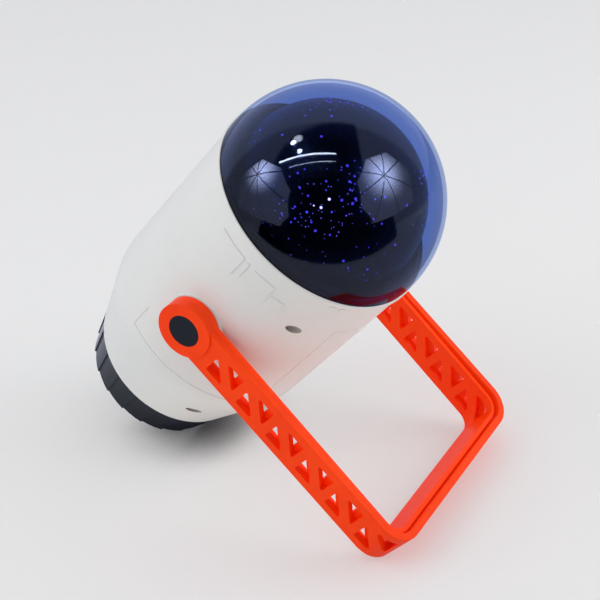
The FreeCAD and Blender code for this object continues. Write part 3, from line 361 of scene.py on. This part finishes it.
def satin_slate(name, colour, gloss, mirror):
    """Dark satin plastic: matt body, weak broad mirror."""
    material, bench = new_finish(name)
    place = part_place(bench)
    slow = bench.noise(place, 30.0, 3.0)
    fine = bench.noise(place, 1800.0, 3.0)
    tone = bench.blend(slow.between(0.3, 0.7), tuple(0.8 * c for c in colour), colour)
    normal = bench.bump(fine, 0.00002, 0.6, bench.bump(slow, 0.00006, 0.5))
    body = bench.node("ShaderNodeBsdfPrincipled", {},
                      {"Base Color": tone, "Roughness": 0.9, "Specular IOR Level": 0.0,
                       "Normal": normal})
    skin = bench.node("ShaderNodeBsdfPrincipled", {},
                      {"Base Color": (0.90, 0.96, 1.0), "Metallic": 1.0, "Normal": normal,
                       "Roughness": gloss + (fine - 0.5) * 0.1})
    facing = bench.node("ShaderNodeLayerWeight", {}, {"Blend": 0.5, "Normal": normal}, 1)
    # Painted shade: the mirror share fades out towards the floor, so the lower side of the
    # ring mirrors less.
    above = bench.dot(place, Vector((0, 0, 1))).between(*SHEEN_HEIGHT)
    share = facing ** 5.0 * above * 0.9 + mirror
    show(bench, bench.node("ShaderNodeMixShader", {}, {0: share, 1: body, 2: skin}))
    return material


CHARCOAL = satin_slate("slate_ring_finish", (0.016, 0.018, 0.023), 0.30, 0.026)
print("slate ready")

# %% [markdown]
# Inside the barrel are metals, boards and cells.  They only show with the door or the dome
# off, but they are real parts.  Steel and brass are turned or drawn, which leaves hair
# lines along one direction; stretched noise draws them by squeezing the coordinates.

# %% Metals and boards
HAIR_STRETCH = (1.0, 1.0, 0.04)
CELL_BAND = (-0.060, -0.0596)


def drawn_metal(name, colour, gloss):
    """Bright metal with hair lines along the barrel."""
    material, bench = new_finish(name)
    place = bench.node("ShaderNodeVectorMath", {"operation": "MULTIPLY"},
                       {0: lathe_place(bench), 1: HAIR_STRETCH})
    hairs = bench.noise(place, 3000.0, 3.0)
    cloud = bench.noise(place, 60.0, 2.0)
    darker = tuple(channel * 0.8 for channel in colour)
    tone = bench.blend(cloud.between(0.35, 0.65), darker, colour)
    principled(bench, Base_Color=tone, Metallic=1.0,
               Roughness=gloss + (hairs - 0.5) * 0.3,
               Normal=bench.bump(hairs, 0.000006, 0.5))
    return material


def circuit_board(name):
    """Green lacquer over a faint weave of glass cloth."""
    material, bench = new_finish(name)
    place = part_place(bench)
    weave = bench.node("ShaderNodeTexChecker", {}, {"Vector": place, "Scale": 1400.0}, 1)
    cloud = bench.noise(place, 300.0, 3.0)
    tone = bench.blend(cloud.between(0.3, 0.7), (0.008, 0.10, 0.035), (0.015, 0.15, 0.05))
    principled(bench, Base_Color=tone, Roughness=0.3 + (cloud - 0.5) * 0.2,
               Coat_Weight=0.4, Normal=bench.bump(weave, 0.00001, 0.4))
    return material


def cell_wrap(name):
    """Shrunk film on a round cell: two dull bands, a little wavy where it shrank."""
    material, bench = new_finish(name)
    place = lathe_place(bench)
    wave = bench.noise(place, 220.0, 2.0)
    split = bench.node("ShaderNodeSeparateXYZ", {}, {0: place}, 2) + wave * 0.0006
    band = split.between(*CELL_BAND, smooth=False)
    tone = bench.blend(band, (0.02, 0.022, 0.026), (0.62, 0.40, 0.10))
    principled(bench, Base_Color=tone, Metallic=0.3, Roughness=0.32 + (wave - 0.5) * 0.1,
               Normal=bench.bump(wave, 0.00003, 0.4))
    return material


def felt(name):
    """Pressed fibre of the friction rings."""
    material, bench = new_finish(name)
    place = part_place(bench)
    fibre = bench.noise(place, 1600.0, 5.0, 0.7)
    tone = bench.blend(fibre.between(0.3, 0.7), (0.02, 0.02, 0.022), (0.07, 0.07, 0.075))
    principled(bench, Base_Color=tone, Roughness=0.95, Sheen_Weight=0.3,
               Normal=bench.bump(fibre, 0.0001, 0.8))
    return material


STEEL = drawn_metal("drawn_steel_finish", (0.60, 0.61, 0.62), 0.28)
BRASS = drawn_metal("drawn_brass_finish", (0.78, 0.56, 0.24), 0.25)
SCREW = drawn_metal("zinc_screw_finish", (0.20, 0.175, 0.16), 0.5)
BOARD = circuit_board("board_lacquer_finish")
CELL = cell_wrap("cell_film_finish")
FELT = felt("friction_felt_finish")
print("metals and boards", 6)

# %% [markdown]
# Under the dome sits a black hood pierced by the star windows, on a black deck.  Both are
# near black, so that only the points of light show.  Turned black plastic has very faint
# rings about its axis: a sine of the distance from the barrel's own axis gives them, and a
# little noise breaks them up.

# %% Black deck
def turned_black(name, colour, gloss):
    """Black plastic with faint turned rings about the barrel's axis."""
    material, bench = new_finish(name)
    place = lathe_place(bench)
    flat = bench.node("ShaderNodeVectorMath", {"operation": "MULTIPLY"},
                      {0: place, 1: (1.0, 1.0, 0.0)})
    reach = bench.node("ShaderNodeVectorMath", {"operation": "LENGTH"}, {0: flat}, 1)
    rings = (reach * 9000.0).maths("SINE")
    dust = bench.noise(place, 900.0, 4.0, 0.6)
    tone = bench.blend(dust.between(0.45, 0.75), colour,
                       tuple(channel * 1.8 for channel in colour))
    principled(bench, Base_Color=tone, Roughness=gloss + (dust - 0.5) * 0.2,
               Normal=bench.bump(rings + dust, 0.000006, 0.35), Specular_IOR_Level=0.2)
    return material


DECK = turned_black("star_deck_finish", (0.0020, 0.0022, 0.0035), 0.30)
TUBE = turned_black("lamp_column_finish", (0.0030, 0.0032, 0.0045), 0.38)
print("deck finishes", 2)

# %% [markdown]
# The dome is a thin blown shell of deep blue acrylic.  Light crosses it on the way in and
# out, and its outer face mirrors a few per cent of the room, much more at a grazing angle;
# the mirror image in the inner face is lost in the blue.  A full glass shader would bend
# every ray twice in two millimetres for no visible gain, so each face is a mix of a tinted
# clear shader and a mirror, by Schlick's rule on the facing angle.

# %% Clear shell
def clear_shell(name, tint, sheen, gloss=0.001, ripple=0.000005, base=0.044, inner=0.12):
    """Tinted clear wall: what is behind it, under the mirror of the room."""
    material, bench = new_finish(name)
    place = part_place(bench)
    swell = bench.noise(place, 20.0, 2.0)
    normal = bench.bump(swell, ripple, 0.25)
    facing = bench.node("ShaderNodeLayerWeight", {}, {"Blend": 0.5, "Normal": normal}, 1)
    inside = bench.node("ShaderNodeNewGeometry", {}, {}, "Backfacing")
    mirror = (facing ** 5.0 * (1.0 - base) + base) * (1.0 - inside * (1.0 - inner))
    clear = bench.node("ShaderNodeBsdfTransparent", {}, {"Color": tint})
    room = bench.node("ShaderNodeBsdfGlossy", {},
                      {"Color": sheen, "Roughness": gloss, "Normal": normal})
    show(bench, bench.node("ShaderNodeMixShader", {}, {0: mirror, 1: clear, 2: room}))
    return material


DOME = clear_shell("blue_dome_finish", (0.525, 0.632, 0.862), (0.74, 0.83, 1.0))
print("dome ready")

# %% [markdown]
# The star windows are lit from below.  They glow, so their colour comes from emission; the
# dome's blue does the rest.  The light leaves straight out, so a window seen from the side
# is dim.  The few windows on the line from the lamp to the camera get a painted glint of the
# lamp: they glow much whiter, and from every side.

# %% Glowing points
def glowing(name, colour, strength):
    """A small lit window, a little uneven."""
    material, bench = new_finish(name)
    place = part_place(bench)
    uneven = bench.noise(place, 1200.0, 2.0)
    light = bench.blend(uneven, tuple(channel * 0.7 for channel in colour), colour)
    facing = bench.node("ShaderNodeLayerWeight", {}, {"Blend": 0.5}, 1)
    light = bench.blend(facing.between(0.15, 0.85), light, BLACK)
    principled(bench, Base_Color=(0.01, 0.01, 0.02), Roughness=0.3, Emission_Color=light,
               Emission_Strength=strength)
    return material


STAR_BLUE = glowing("star_blue_glow", (0.17, 0.09, 1.0), 1.6)
# A painted glint: these windows stand for the lamp seen through the hood along the camera's
# line.
PAINTED_LAMP_GLINT = glowing("painted_lamp_glint", (1.0, 0.72, 1.0), 4.5)
STAR_PIN = glowing("pin_hole_glow", (0.40, 0.24, 1.0), 4.5)
LAMP = glowing("lamp_dome_glow", (0.30, 0.40, 1.0), 1.2)
print("glows", 4)

# %% [markdown]
# Each ready-made part now gets its finish.  Its material slots are emptied and the finish is
# put in a single slot; the shapes aren't touched.

# %% Dress the parts
FINISH_OF = {
    "shell_upper": WHITE_SHELL, "shell_lower": WHITE_SHELL, "rim_ring": WHITE_SHELL,
    "battery_door": WHITE_SHELL, "button_power": CHARCOAL, "button_turn": CHARCOAL,
    "star_dome": DOME, "deck_ring": DECK, "star_platter": DECK, "star_hood": DECK,
    "star_points": STAR_BLUE, "star_gear": GEAR, "motor_pinion": BRASS,
    "motor_shaft": STEEL, "gear_motor": STEEL, "lamp_column": TUBE, "chassis_plate": INNER,
    "lamp_board": BOARD, "lamp": LAMP, "battery_tray": INNER, "battery_cells": CELL,
    "battery_contacts": STEEL, "shell_screws": SCREW, "control_board": BOARD,
    "board_switches": CHARCOAL, "tail_ring": CHARCOAL, "foot_plate": CHARCOAL,
    "rubber_feet": RUBBER, "handle_frame": ORANGE, "prop_frame": ORANGE_INSIDE_GLOWING,
    "pivot_cap_left": CAP_BLUE, "pivot_cap_right": CAP_BLUE, "pivot_stud_left": STUD,
    "pivot_stud_right": STUD, "stud_washers": STEEL, "stud_screws": STEEL,
    "friction_washers": FELT,
}


def dress(piece, material):
    piece.data.materials.clear()
    piece.data.materials.append(material)


for name, part in nodes.items():
    dress(part, FINISH_OF[name])
print("dressed", len(nodes))

# %% [markdown]
# Moulds have no knife edges: every corner of a real moulding is rounded a few tenths of a
# millimetre, and that is where the light catches.  The ready-made parts have sharp edges,
# so the ones that show get a softened copy: the same faces, welded, with a small bevel
# along each sharp edge.  The copy then stands for the part.

# %% Softened copies
WELD = 0.000002
FLAT_WITHIN = math.radians(0.4)
SMOOTH_UP_TO = math.radians(50)
CLOSE_TO_SEAM = 0.00007
CLOSE_TO_SIDE = 0.00005


def off_seam(point):
    """How far a point is from the plane where the two half shells meet."""
    return (INTO_BARREL @ (point - RIM)).y


def softened(node, width, segments=2, sharp=38.0, seam=0.0, swell=0.0):
    """A copy of a part with a small round along its sharp edges, and its seam closed.

    swell thickens the walls that face straight out to the sides.
    """
    source = nodes[node]
    shape = bpy.data.meshes.new(node + "_soft")
    shape.from_pydata([v.co[:] for v in source.data.vertices], [],
                      [tuple(p.vertices) for p in source.data.polygons])
    form = bmesh.new()
    form.from_mesh(shape)
    bmesh.ops.remove_doubles(form, verts=form.verts, dist=WELD)
    bmesh.ops.dissolve_limit(form, angle_limit=FLAT_WITHIN, verts=form.verts,
                             edges=form.edges)
    across = FROM_BARREL @ Vector((0, 1, 0))
    on_seam = {vert for vert in form.verts if abs(off_seam(vert.co)) < seam}
    for vert in on_seam:
        vert.co -= across * off_seam(vert.co)
    reach = max(abs(vert.co.x) for vert in form.verts)
    for vert in form.verts:
        if abs(abs(vert.co.x) - reach) < CLOSE_TO_SIDE:
            vert.co.x += math.copysign(swell, vert.co.x)
    edges = [edge for edge in form.edges if len(edge.link_faces) == 2
             and edge.calc_face_angle(0.0) > math.radians(sharp)
             and not on_seam.issuperset(edge.verts)]
    bmesh.ops.bevel(form, geom=edges, offset=width, segments=segments, profile=0.5,
                    affect="EDGES", clamp_overlap=True)
    form.to_mesh(shape)
    form.free()
    shape.shade_smooth()
    shape.set_sharp_from_angle(angle=SMOOTH_UP_TO)
    piece = bpy.data.objects.new(node + "_soft", shape)
    bpy.context.scene.collection.objects.link(piece)
    weigh = piece.modifiers.new("flat_faces", "WEIGHTED_NORMAL")
    weigh.keep_sharp = True
    dress(piece, FINISH_OF[node])
    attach(piece, source["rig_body"])
    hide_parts(node)
    print(node, "edges softened", len(edges), "faces", len(shape.polygons))
    return piece


SOFT_EDGES = (
    ("handle_frame", 0.00040, "orange_frame"), ("prop_frame", 0.00035, "orange_frame"),
    ("shell_upper", 0.00034, "white_shell"), ("shell_lower", 0.00034, "white_shell"),
    ("rim_ring", 0.00025, "white_shell"), ("battery_door", 0.00014, "white_shell"),
    ("tail_ring", 0.00030, "charcoal"), ("foot_plate", 0.00030, "charcoal"),
    ("pivot_cap_left", 0.00030, "charcoal"), ("pivot_cap_right", 0.00030, "charcoal"),
    ("button_power", 0.00035, "charcoal"), ("button_turn", 0.00035, "charcoal"),
)
PROP_SWELL = 0.00045
for name, width, slot in SOFT_EDGES:
    softened(name, width, seam=CLOSE_TO_SEAM if "shell" in name else 0.0,
                     swell=PROP_SWELL if name == "prop_frame" else 0.0)

# %% [markdown]
# The construction marks each star window with a small disc on the hood.  A real window is
# a bead of light pipe, a little proud of the hood and round on top.  Each disc's middle and
# size are read from its own island of the mesh, and a low dome is built there, facing
# straight out, a little narrower than the disc.  The three on the line from the lamp to the
# camera, named by their angles from and about the barrel's axis, are set apart for the
# painted glint of the lamp.

# %% Star windows
LAMP_LINE = ((57, 180), (56, 184), (49, 184))
BEAD_RINGS = ((1.0, 0.0), (0.88, 0.5), (0.55, 0.88))
NOT_ALONG = Vector((0.3, 0.2, 0.9))
BEAD_RADIUS = 0.95
BEAD_RISE = 0.45
ABOVE_HOOD = 0.00002


def islands(piece):
    """Each loose island of a mesh, as the places of its points in the world."""
    form = bmesh.new()
    form.from_mesh(piece.data)
    bmesh.ops.remove_doubles(form, verts=form.verts, dist=WELD)
    left = set(form.verts)
    found = []
    while left:
        waiting = [min(left, key=lambda v: v.index)]
        left.discard(waiting[0])
        island = []
        while waiting:
            point = waiting.pop()
            island.append(piece.matrix_world @ point.co)
            for edge in point.link_edges:
                other = edge.other_vert(point)
                if other in left:
                    left.discard(other)
                    waiting.append(other)
        found.append(island)
    form.free()
    return found


def beads(name, spots, sides=14):
    """Low round beads: (foot, direction, radius, rise) each, in metres."""
    form = bmesh.new()
    for foot, out, radius, rise in spots:
        side = out.cross(NOT_ALONG).normalized()
        ahead = out.cross(side)
        rings = []
        for share, lift in BEAD_RINGS:
            rings.append([form.verts.new(
                foot + out * (rise * lift)
                + (side * math.cos(2 * math.pi * k / sides)
                   + ahead * math.sin(2 * math.pi * k / sides)) * (radius * share))
                for k in range(sides)])
        crown = form.verts.new(foot + out * rise)
        for low, high in zip(rings, rings[1:]):
            for k in range(sides):
                form.faces.new((low[k], low[(k + 1) % sides], high[(k + 1) % sides], high[k]))
        for k in range(sides):
            form.faces.new((rings[-1][k], rings[-1][(k + 1) % sides], crown))
        form.faces.new(tuple(reversed(rings[0])))
    shape = bpy.data.meshes.new(name)
    form.to_mesh(shape)
    form.free()
    shape.shade_smooth()
    piece = bpy.data.objects.new(name, shape)
    bpy.context.scene.collection.objects.link(piece)
    return piece


def from_axis(out):
    """Polar angle and azimuth of a direction about the barrel's axis, in degrees."""
    local = INTO_BARREL @ out
    return (math.degrees(math.acos(max(-1.0, min(1.0, local.z)))),
            math.degrees(math.atan2(local.y, local.x)) % 360)


plain, bright = [], []
for island in islands(nodes["star_points"]):
    middle = sum(island, Vector()) / len(island)
    out = (middle - RIM).normalized()
    foot = RIM + out * (min((point - RIM).length for point in island) + ABOVE_HOOD)
    wide = max(((point - middle) - out * (point - middle).dot(out)).length
               for point in island)
    polar, azimuth = from_axis(out)
    lined = any(abs(polar - p) < 3 and abs(azimuth - a) < 3 for p, a in LAMP_LINE)
    (bright if lined else plain).append((foot, out, wide * BEAD_RADIUS, wide * BEAD_RISE))
stars = beads("star_windows", plain)
dress(stars, STAR_BLUE)
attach(stars, "platter")
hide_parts("star_points")
print("star windows", len(plain), "bright", len(bright))

# %% [markdown]
# The three bright windows are the same beads under the white painted glint, on the same
# turning platter.  They are a piece of their own because a piece has one finish here.

# %% Bright windows
# Painted glint of the lamp on these three windows.
glints = beads("lamp_windows", bright)
dress(glints, PAINTED_LAMP_GLINT)
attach(glints, "platter")
print("bright windows", [tuple(round(v) for v in from_axis(out)) for _, out, _, _ in bright])

# %% [markdown]
# Between the drilled windows lie many pin holes for the faint stars, each only a third of a
# millimetre across.  They are too many to place by hand, so a seeded draw scatters them
# about the middle of each third of the hood, on the same ball as the windows.  The third
# with the bright windows keeps every pin; the others keep half of those near the top.

# %% Pin holes
PIN_TRIES = 95
PIN_POLAR, POLAR_SPREAD, POLAR_LOW, POLAR_HIGH = 57.0, 15.0, 6.0, 86.0
PIN_AZIMUTH, AZIMUTH_SPREAD = 184.0, 20.0
PIN_RADIUS = (0.00011, 0.00021)
OTHERS_KEEP = 0.5
OTHERS_END = 1.0

chance = random.Random(29)
hood_reach = sum((foot - RIM).length for foot, _, _, _ in plain) / len(plain)
pins = []
for _ in range(PIN_TRIES):
    drawn = chance.gauss(PIN_POLAR, POLAR_SPREAD)
    polar = math.radians(min(POLAR_HIGH, max(POLAR_LOW, drawn)))
    azimuth = math.radians(PIN_AZIMUTH + chance.gauss(0.0, AZIMUTH_SPREAD))
    size = chance.uniform(*PIN_RADIUS)
    for third in range(3):
        if third and (chance.random() < OTHERS_KEEP or polar > OTHERS_END):
            continue
        turn = azimuth + third * math.tau / 3
        out = FROM_BARREL @ Vector((math.sin(polar) * math.cos(turn),
                                    math.sin(polar) * math.sin(turn),
                                    math.cos(polar)))
        pins.append((RIM + out * hood_reach, out, size, size * 0.5))
pin_holes = beads("pin_holes", pins, sides=6)
dress(pin_holes, STAR_PIN)
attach(pin_holes, "platter")
print("pin holes", len(pins), "at", round(hood_reach * 1000, 2), "mm")

# %% [markdown]
# The floor is a wide pale sweep.  It keeps the part's own shadow, so it is a real diffuse
# surface; right under the tail a painted shadow darkens it more.  As painted shade its tone
# is a little darker over the metre behind the part and darker in front of it, towards the
# camera; far away it melts into the backdrop.  A mirror-like dome also shows where the sheet
# ends in front of the table; for mirrored rays the floor goes dark beyond that edge, as a
# room would, and on this side of it the floor is a little darker and bluer.

# %% Floor
HALF_FLOOR = 12.0
SHEET_EDGE = 0.31
EDGE_SLOPE = 0.08
EDGE_SOFT = 0.02
SHEET_SIDES = (1.75, 1.95)
CONTACT_REACH = 0.033
CONTACT_RAMP = (0.18, 0.88)
MELTS_AWAY = (1.5, 9.0)
PLAIN_SHARE = 0.35
MIRRORED_COOL = 0.36
PAPER = (0.81, 0.812, 0.817)
PAPER_SHADED_BEHIND = (0.785, 0.788, 0.797)
PAPER_SHADED_IN_FRONT = (0.72, 0.723, 0.73)
PAPER_FIBRE = (0.70, 0.71, 0.73)
CONTACT_SHADE = (0.20, 0.205, 0.21)
MIRRORED_BLUE = (0.04, 0.05, 0.26)
DARK_ROOM = (0.004, 0.004, 0.006)
BACKDROP = (0.775, 0.778, 0.782)


def even_glow(colour):
    """A floor shader that only glows, in one colour."""
    return bench.node("ShaderNodeEmission", {}, {"Color": colour, "Strength": 1.0})


def mixed(amount, low, high):
    """Two shaders of the floor, mixed by an amount."""
    return bench.node("ShaderNodeMixShader", {}, {0: amount, 1: low, 2: high})


floor_shape = bpy.data.meshes.new("sweep")
form = bmesh.new()
bmesh.ops.create_grid(form, x_segments=40, y_segments=40, size=HALF_FLOOR)
form.to_mesh(floor_shape)
form.free()
floor = bpy.data.objects.new("sweep", floor_shape)
bpy.context.scene.collection.objects.link(floor)
paper, bench = new_finish("sweep_finish")
place = part_place(bench)
fibre = bench.noise(place, 40.0, 2.0)
toward = Vector((TO_CAMERA.x, TO_CAMERA.y, 0.0)).normalized()
ahead = bench.dot(place, toward)
# Painted shade: the paper is painted darker in front of the part and a little darker far
# behind it.
painted_shade_behind = (-1.0 * ahead).between(0.25, 1.6)
painted_shade_in_front = ahead.between(0.02, 0.45)
tone = bench.blend(painted_shade_behind, PAPER, PAPER_SHADED_BEHIND)
tone = bench.blend(painted_shade_in_front, tone, PAPER_SHADED_IN_FRONT)
tone = bench.blend(fibre.between(0.3, 0.7) * 0.02, tone, PAPER_FIBRE)
mirrored = bench.node("ShaderNodeLightPath", {}, {}, "Is Glossy Ray")
sideways = bench.dot(place, Vector((toward.y, -toward.x, 0.0)))
past_edge = (ahead - sideways * EDGE_SLOPE).between(SHEET_EDGE - EDGE_SOFT,
                                                    SHEET_EDGE + EDGE_SOFT)
beyond = past_edge * (1.0 - (sideways / ahead).maths("ABSOLUTE").between(*SHEET_SIDES))
# Painted shadow: right under the tail, where the part is close above, the paper is painted
# towards CONTACT_SHADE and glows less for the camera.
clearance = bench.node("ShaderNodeAmbientOcclusion", {"samples": 8},
                       {"Distance": CONTACT_REACH}, 1)
by_tail = bench.dot(place, Vector((0, 1, 0))).between(0.0, 0.03)
clearance = 1.0 - (1.0 - clearance.between(*CONTACT_RAMP)) * by_tail
tone = bench.blend(clearance, CONTACT_SHADE, tone)
cloth = bench.node("ShaderNodeBsdfPrincipled", {}, {"Base Color": tone, "Roughness": 0.75,
                                                   "Specular IOR Level": 0.2})
far_off = bench.node("ShaderNodeVectorMath", {"operation": "LENGTH"}, {0: place}, 1)
plain_share = (clearance * PLAIN_SHARE).highest(far_off.between(*MELTS_AWAY))
seen_plain = (bench.node("ShaderNodeLightPath", {}, {}, "Is Camera Ray") * plain_share
              + bench.node("ShaderNodeLightPath", {}, {}, "Is Diffuse Ray") * PLAIN_SHARE)
soft_cloth = mixed(seen_plain, cloth, even_glow(BACKDROP))
cooler = mixed(mirrored * MIRRORED_COOL, soft_cloth, even_glow(MIRRORED_BLUE))
show(bench, mixed(mirrored * beyond, cooler, even_glow(DARK_ROOM)))
dress(floor, paper)
print("floor", 2 * HALF_FLOOR, "m wide")

# %% [markdown]
# The room is what a glossy part shows.  Here it is a pale sweep behind, brighter overhead,
# a dark room behind the camera, two ribbed umbrella lamps, a pair of ceiling tubes and a few
# bright sparks beside them.  They live in the world and only mirrored rays meet them; the
# camera sees a plain pale backdrop, and diffuse surfaces get one even, slightly cool light
# that is weaker from the camera's own side.

# %% Studio room
RIB_WIDTH = (0.004, 0.013)
RIB_TONE = 0.12
NEAR_TONE = 0.42
OVERHEAD_TONE = 0.36
DARK_TONE = 0.003
TINT_GREEN = 1.05
TINT_BLUE = 1.42

world = bpy.data.worlds.new("studio_room")
bpy.context.scene.world = world
world.use_nodes = True
room = Bench(world.node_tree)
way = room.node("ShaderNodeTexCoord", {}, {}, "Generated")


def cap_of(heading, degrees_wide, soft=0.05):
    """1 inside a round patch of the sky about a heading."""
    edge = math.cos(math.radians(degrees_wide))
    return room.dot(way, Vector(heading).normalized()).between(edge - soft, edge + soft)


def umbrella(heading, bright, slide, reach, power, spread, low):
    """An eight-sided umbrella: brightest by its hub, with thin dark ribs from it.

    bright heads for the brightest point; slide is how far the cloth's middle is from the
    hub, across and up; reach is the cloth's own half width.  spread is how far the bright
    core fades, down to the share low of its power.
    """
    hub = Vector(heading).normalized()
    side = hub.cross(Vector((0, 0, 1))).normalized()
    rise = side.cross(hub)
    across = room.dot(way, side)
    upward = room.dot(way, rise)
    far = (across * across + upward * upward) ** 0.5
    half = math.pi / 8
    off_rib = across.maths("ARCTAN2", upward).maths("PINGPONG", half) * far
    ribs = off_rib.between(*RIB_WIDTH)
    aside = across - slide[0]
    above = upward - slide[1]
    out = (aside * aside + above * above) ** 0.5
    facet = (half - aside.maths("ARCTAN2", above).maths("PINGPONG", half)).maths("COSINE")
    cloth = 1.0 - (facet * out).between(reach * 0.95, reach)
    off_peak = (2.0 - room.dot(way, Vector(bright).normalized()) * 2.0).highest(0.0) ** 0.5
    core = 1.0 - off_peak.between(0.0, spread)
    glow = core * core * (1.0 - low) + low
    front = room.dot(way, hub).between(0.0, 0.2)
    return glow * cloth * (ribs * (1.0 - RIB_TONE) + RIB_TONE) * front * power


def ceiling_tube(plane, heading, half_long, half_wide, power):
    """A long thin lamp: a band on a great circle of the sky."""
    off = room.dot(way, Vector(plane).normalized()).maths("ABSOLUTE")
    middle = room.dot(way, Vector(heading).normalized())
    inside = middle.between(math.cos(half_long) - 0.004, math.cos(half_long) + 0.004)
    return (1.0 - off.between(half_wide * 0.5, half_wide)) * inside * power


dark_side = cap_of((-0.579, -0.572, 0.581), 66.5, 0.05)
dark_side = dark_side * (1.0 - room.dot(way, (0.702, -0.712, 0.0)).between(0.42, 0.45))
left_umbrella = umbrella((-0.537, 0.700, 0.472), bright=(-0.535, 0.646, 0.544),
                         slide=(-0.24, -0.17), reach=0.46, power=12.0, spread=0.42, low=0.05)
right_umbrella = umbrella((0.141, -0.846, 0.514), bright=(0.155, -0.828, 0.538),
                          slide=(0.06, -0.17), reach=0.48, power=12.5, spread=0.54, low=0.06)
tubes = ceiling_tube((0.833, 0.444, 0.330), (-0.406, 0.069, 0.911), half_long=0.425,
                     half_wide=0.020, power=22.0)
tubes = tubes + ceiling_tube((0.770, 0.449, 0.454), (-0.486, -0.049, 0.872),
                             half_long=0.355, half_wide=0.009, power=10.0)
sparks = cap_of((-0.236, 0.342, 0.910), 2.1, 0.0003) * 70.0
sparks = sparks + cap_of((-0.168, 0.308, 0.936), 3.6, 0.0012) * 9.0
sparks = sparks + cap_of((-0.362, 0.199, 0.911), 2.0, 0.0003) * 45.0
lamps = tubes + sparks
overhead = 1.0 - room.dot(way, (-0.873, -0.463, -0.153)).between(-0.42, -0.34)
pale = (1.0 - dark_side) * (overhead * OVERHEAD_TONE + NEAR_TONE) + dark_side * DARK_TONE
pale = pale.highest(left_umbrella).highest(right_umbrella)
mirrored_room = room.node("ShaderNodeCombineColor", {}, {0: pale + lamps,
                                                         1: pale * TINT_GREEN + lamps,
                                                         2: pale * TINT_BLUE + lamps})
is_mirrored = room.node("ShaderNodeLightPath", {}, {}, "Is Glossy Ray")
is_camera = room.node("ShaderNodeLightPath", {}, {}, "Is Camera Ray")
is_clear = room.node("ShaderNodeLightPath", {}, {}, "Is Transmission Ray")
seen = is_camera.highest(is_clear)
shaded = cap_of((-0.40, -0.60, 0.69), 46, 0.26) * 0.38
even = room.blend(shaded, (0.90, 0.90, 0.905), BLACK)
light = room.blend(seen, even, BACKDROP)
light = room.blend(is_mirrored, light, mirrored_room)
room.node("ShaderNodeOutputWorld", {}, {"Surface": room.node(
    "ShaderNodeBackground", {}, {"Color": light, "Strength": 1.0})})
print("room ready")

# %% [markdown]
# Two broad soft lamps stand where the umbrellas are, above to the right of the camera and
# behind to the left, so that the barrel is lit evenly from both sides and its shadow on the
# floor stays soft.  They don't show in mirrored rays, because the room already does.

# %% Lamps
LIT_POINT = Vector((0.0, -0.02, 0.12))
LAMP_DISTANCE = 1.1
LAMP_SIZE = 0.9


def soft_lamp(name, heading, power):
    """A broad round lamp that looks at the middle of the part."""
    data = bpy.data.lights.new(name, "AREA")
    data.shape = "DISK"
    data.size = LAMP_SIZE
    data.energy = power
    lamp = bpy.data.objects.new(name, data)
    from_here = LIT_POINT + Vector(heading).normalized() * LAMP_DISTANCE
    lamp.matrix_world = aim(from_here, LIT_POINT, 0.0)
    lamp.visible_glossy = False
    bpy.context.scene.collection.objects.link(lamp)


soft_lamp("umbrella_right", (0.45, -0.80, 0.36), power=4.3)
soft_lamp("umbrella_left", (-0.60, 0.60, 0.62), power=2.8)
print("lamps", 2)

# %% [markdown]
# The colours above were chosen for the plain standard view, which shows a tone of the scene
# as it is, without a film curve.

# %% Colour management
bpy.context.scene.view_settings.view_transform = "Standard"
print("view", bpy.context.scene.view_settings.view_transform)

# %% [markdown]
# Last, the view layer is brought up to date.

# %% Update
bpy.context.view_layer.update()
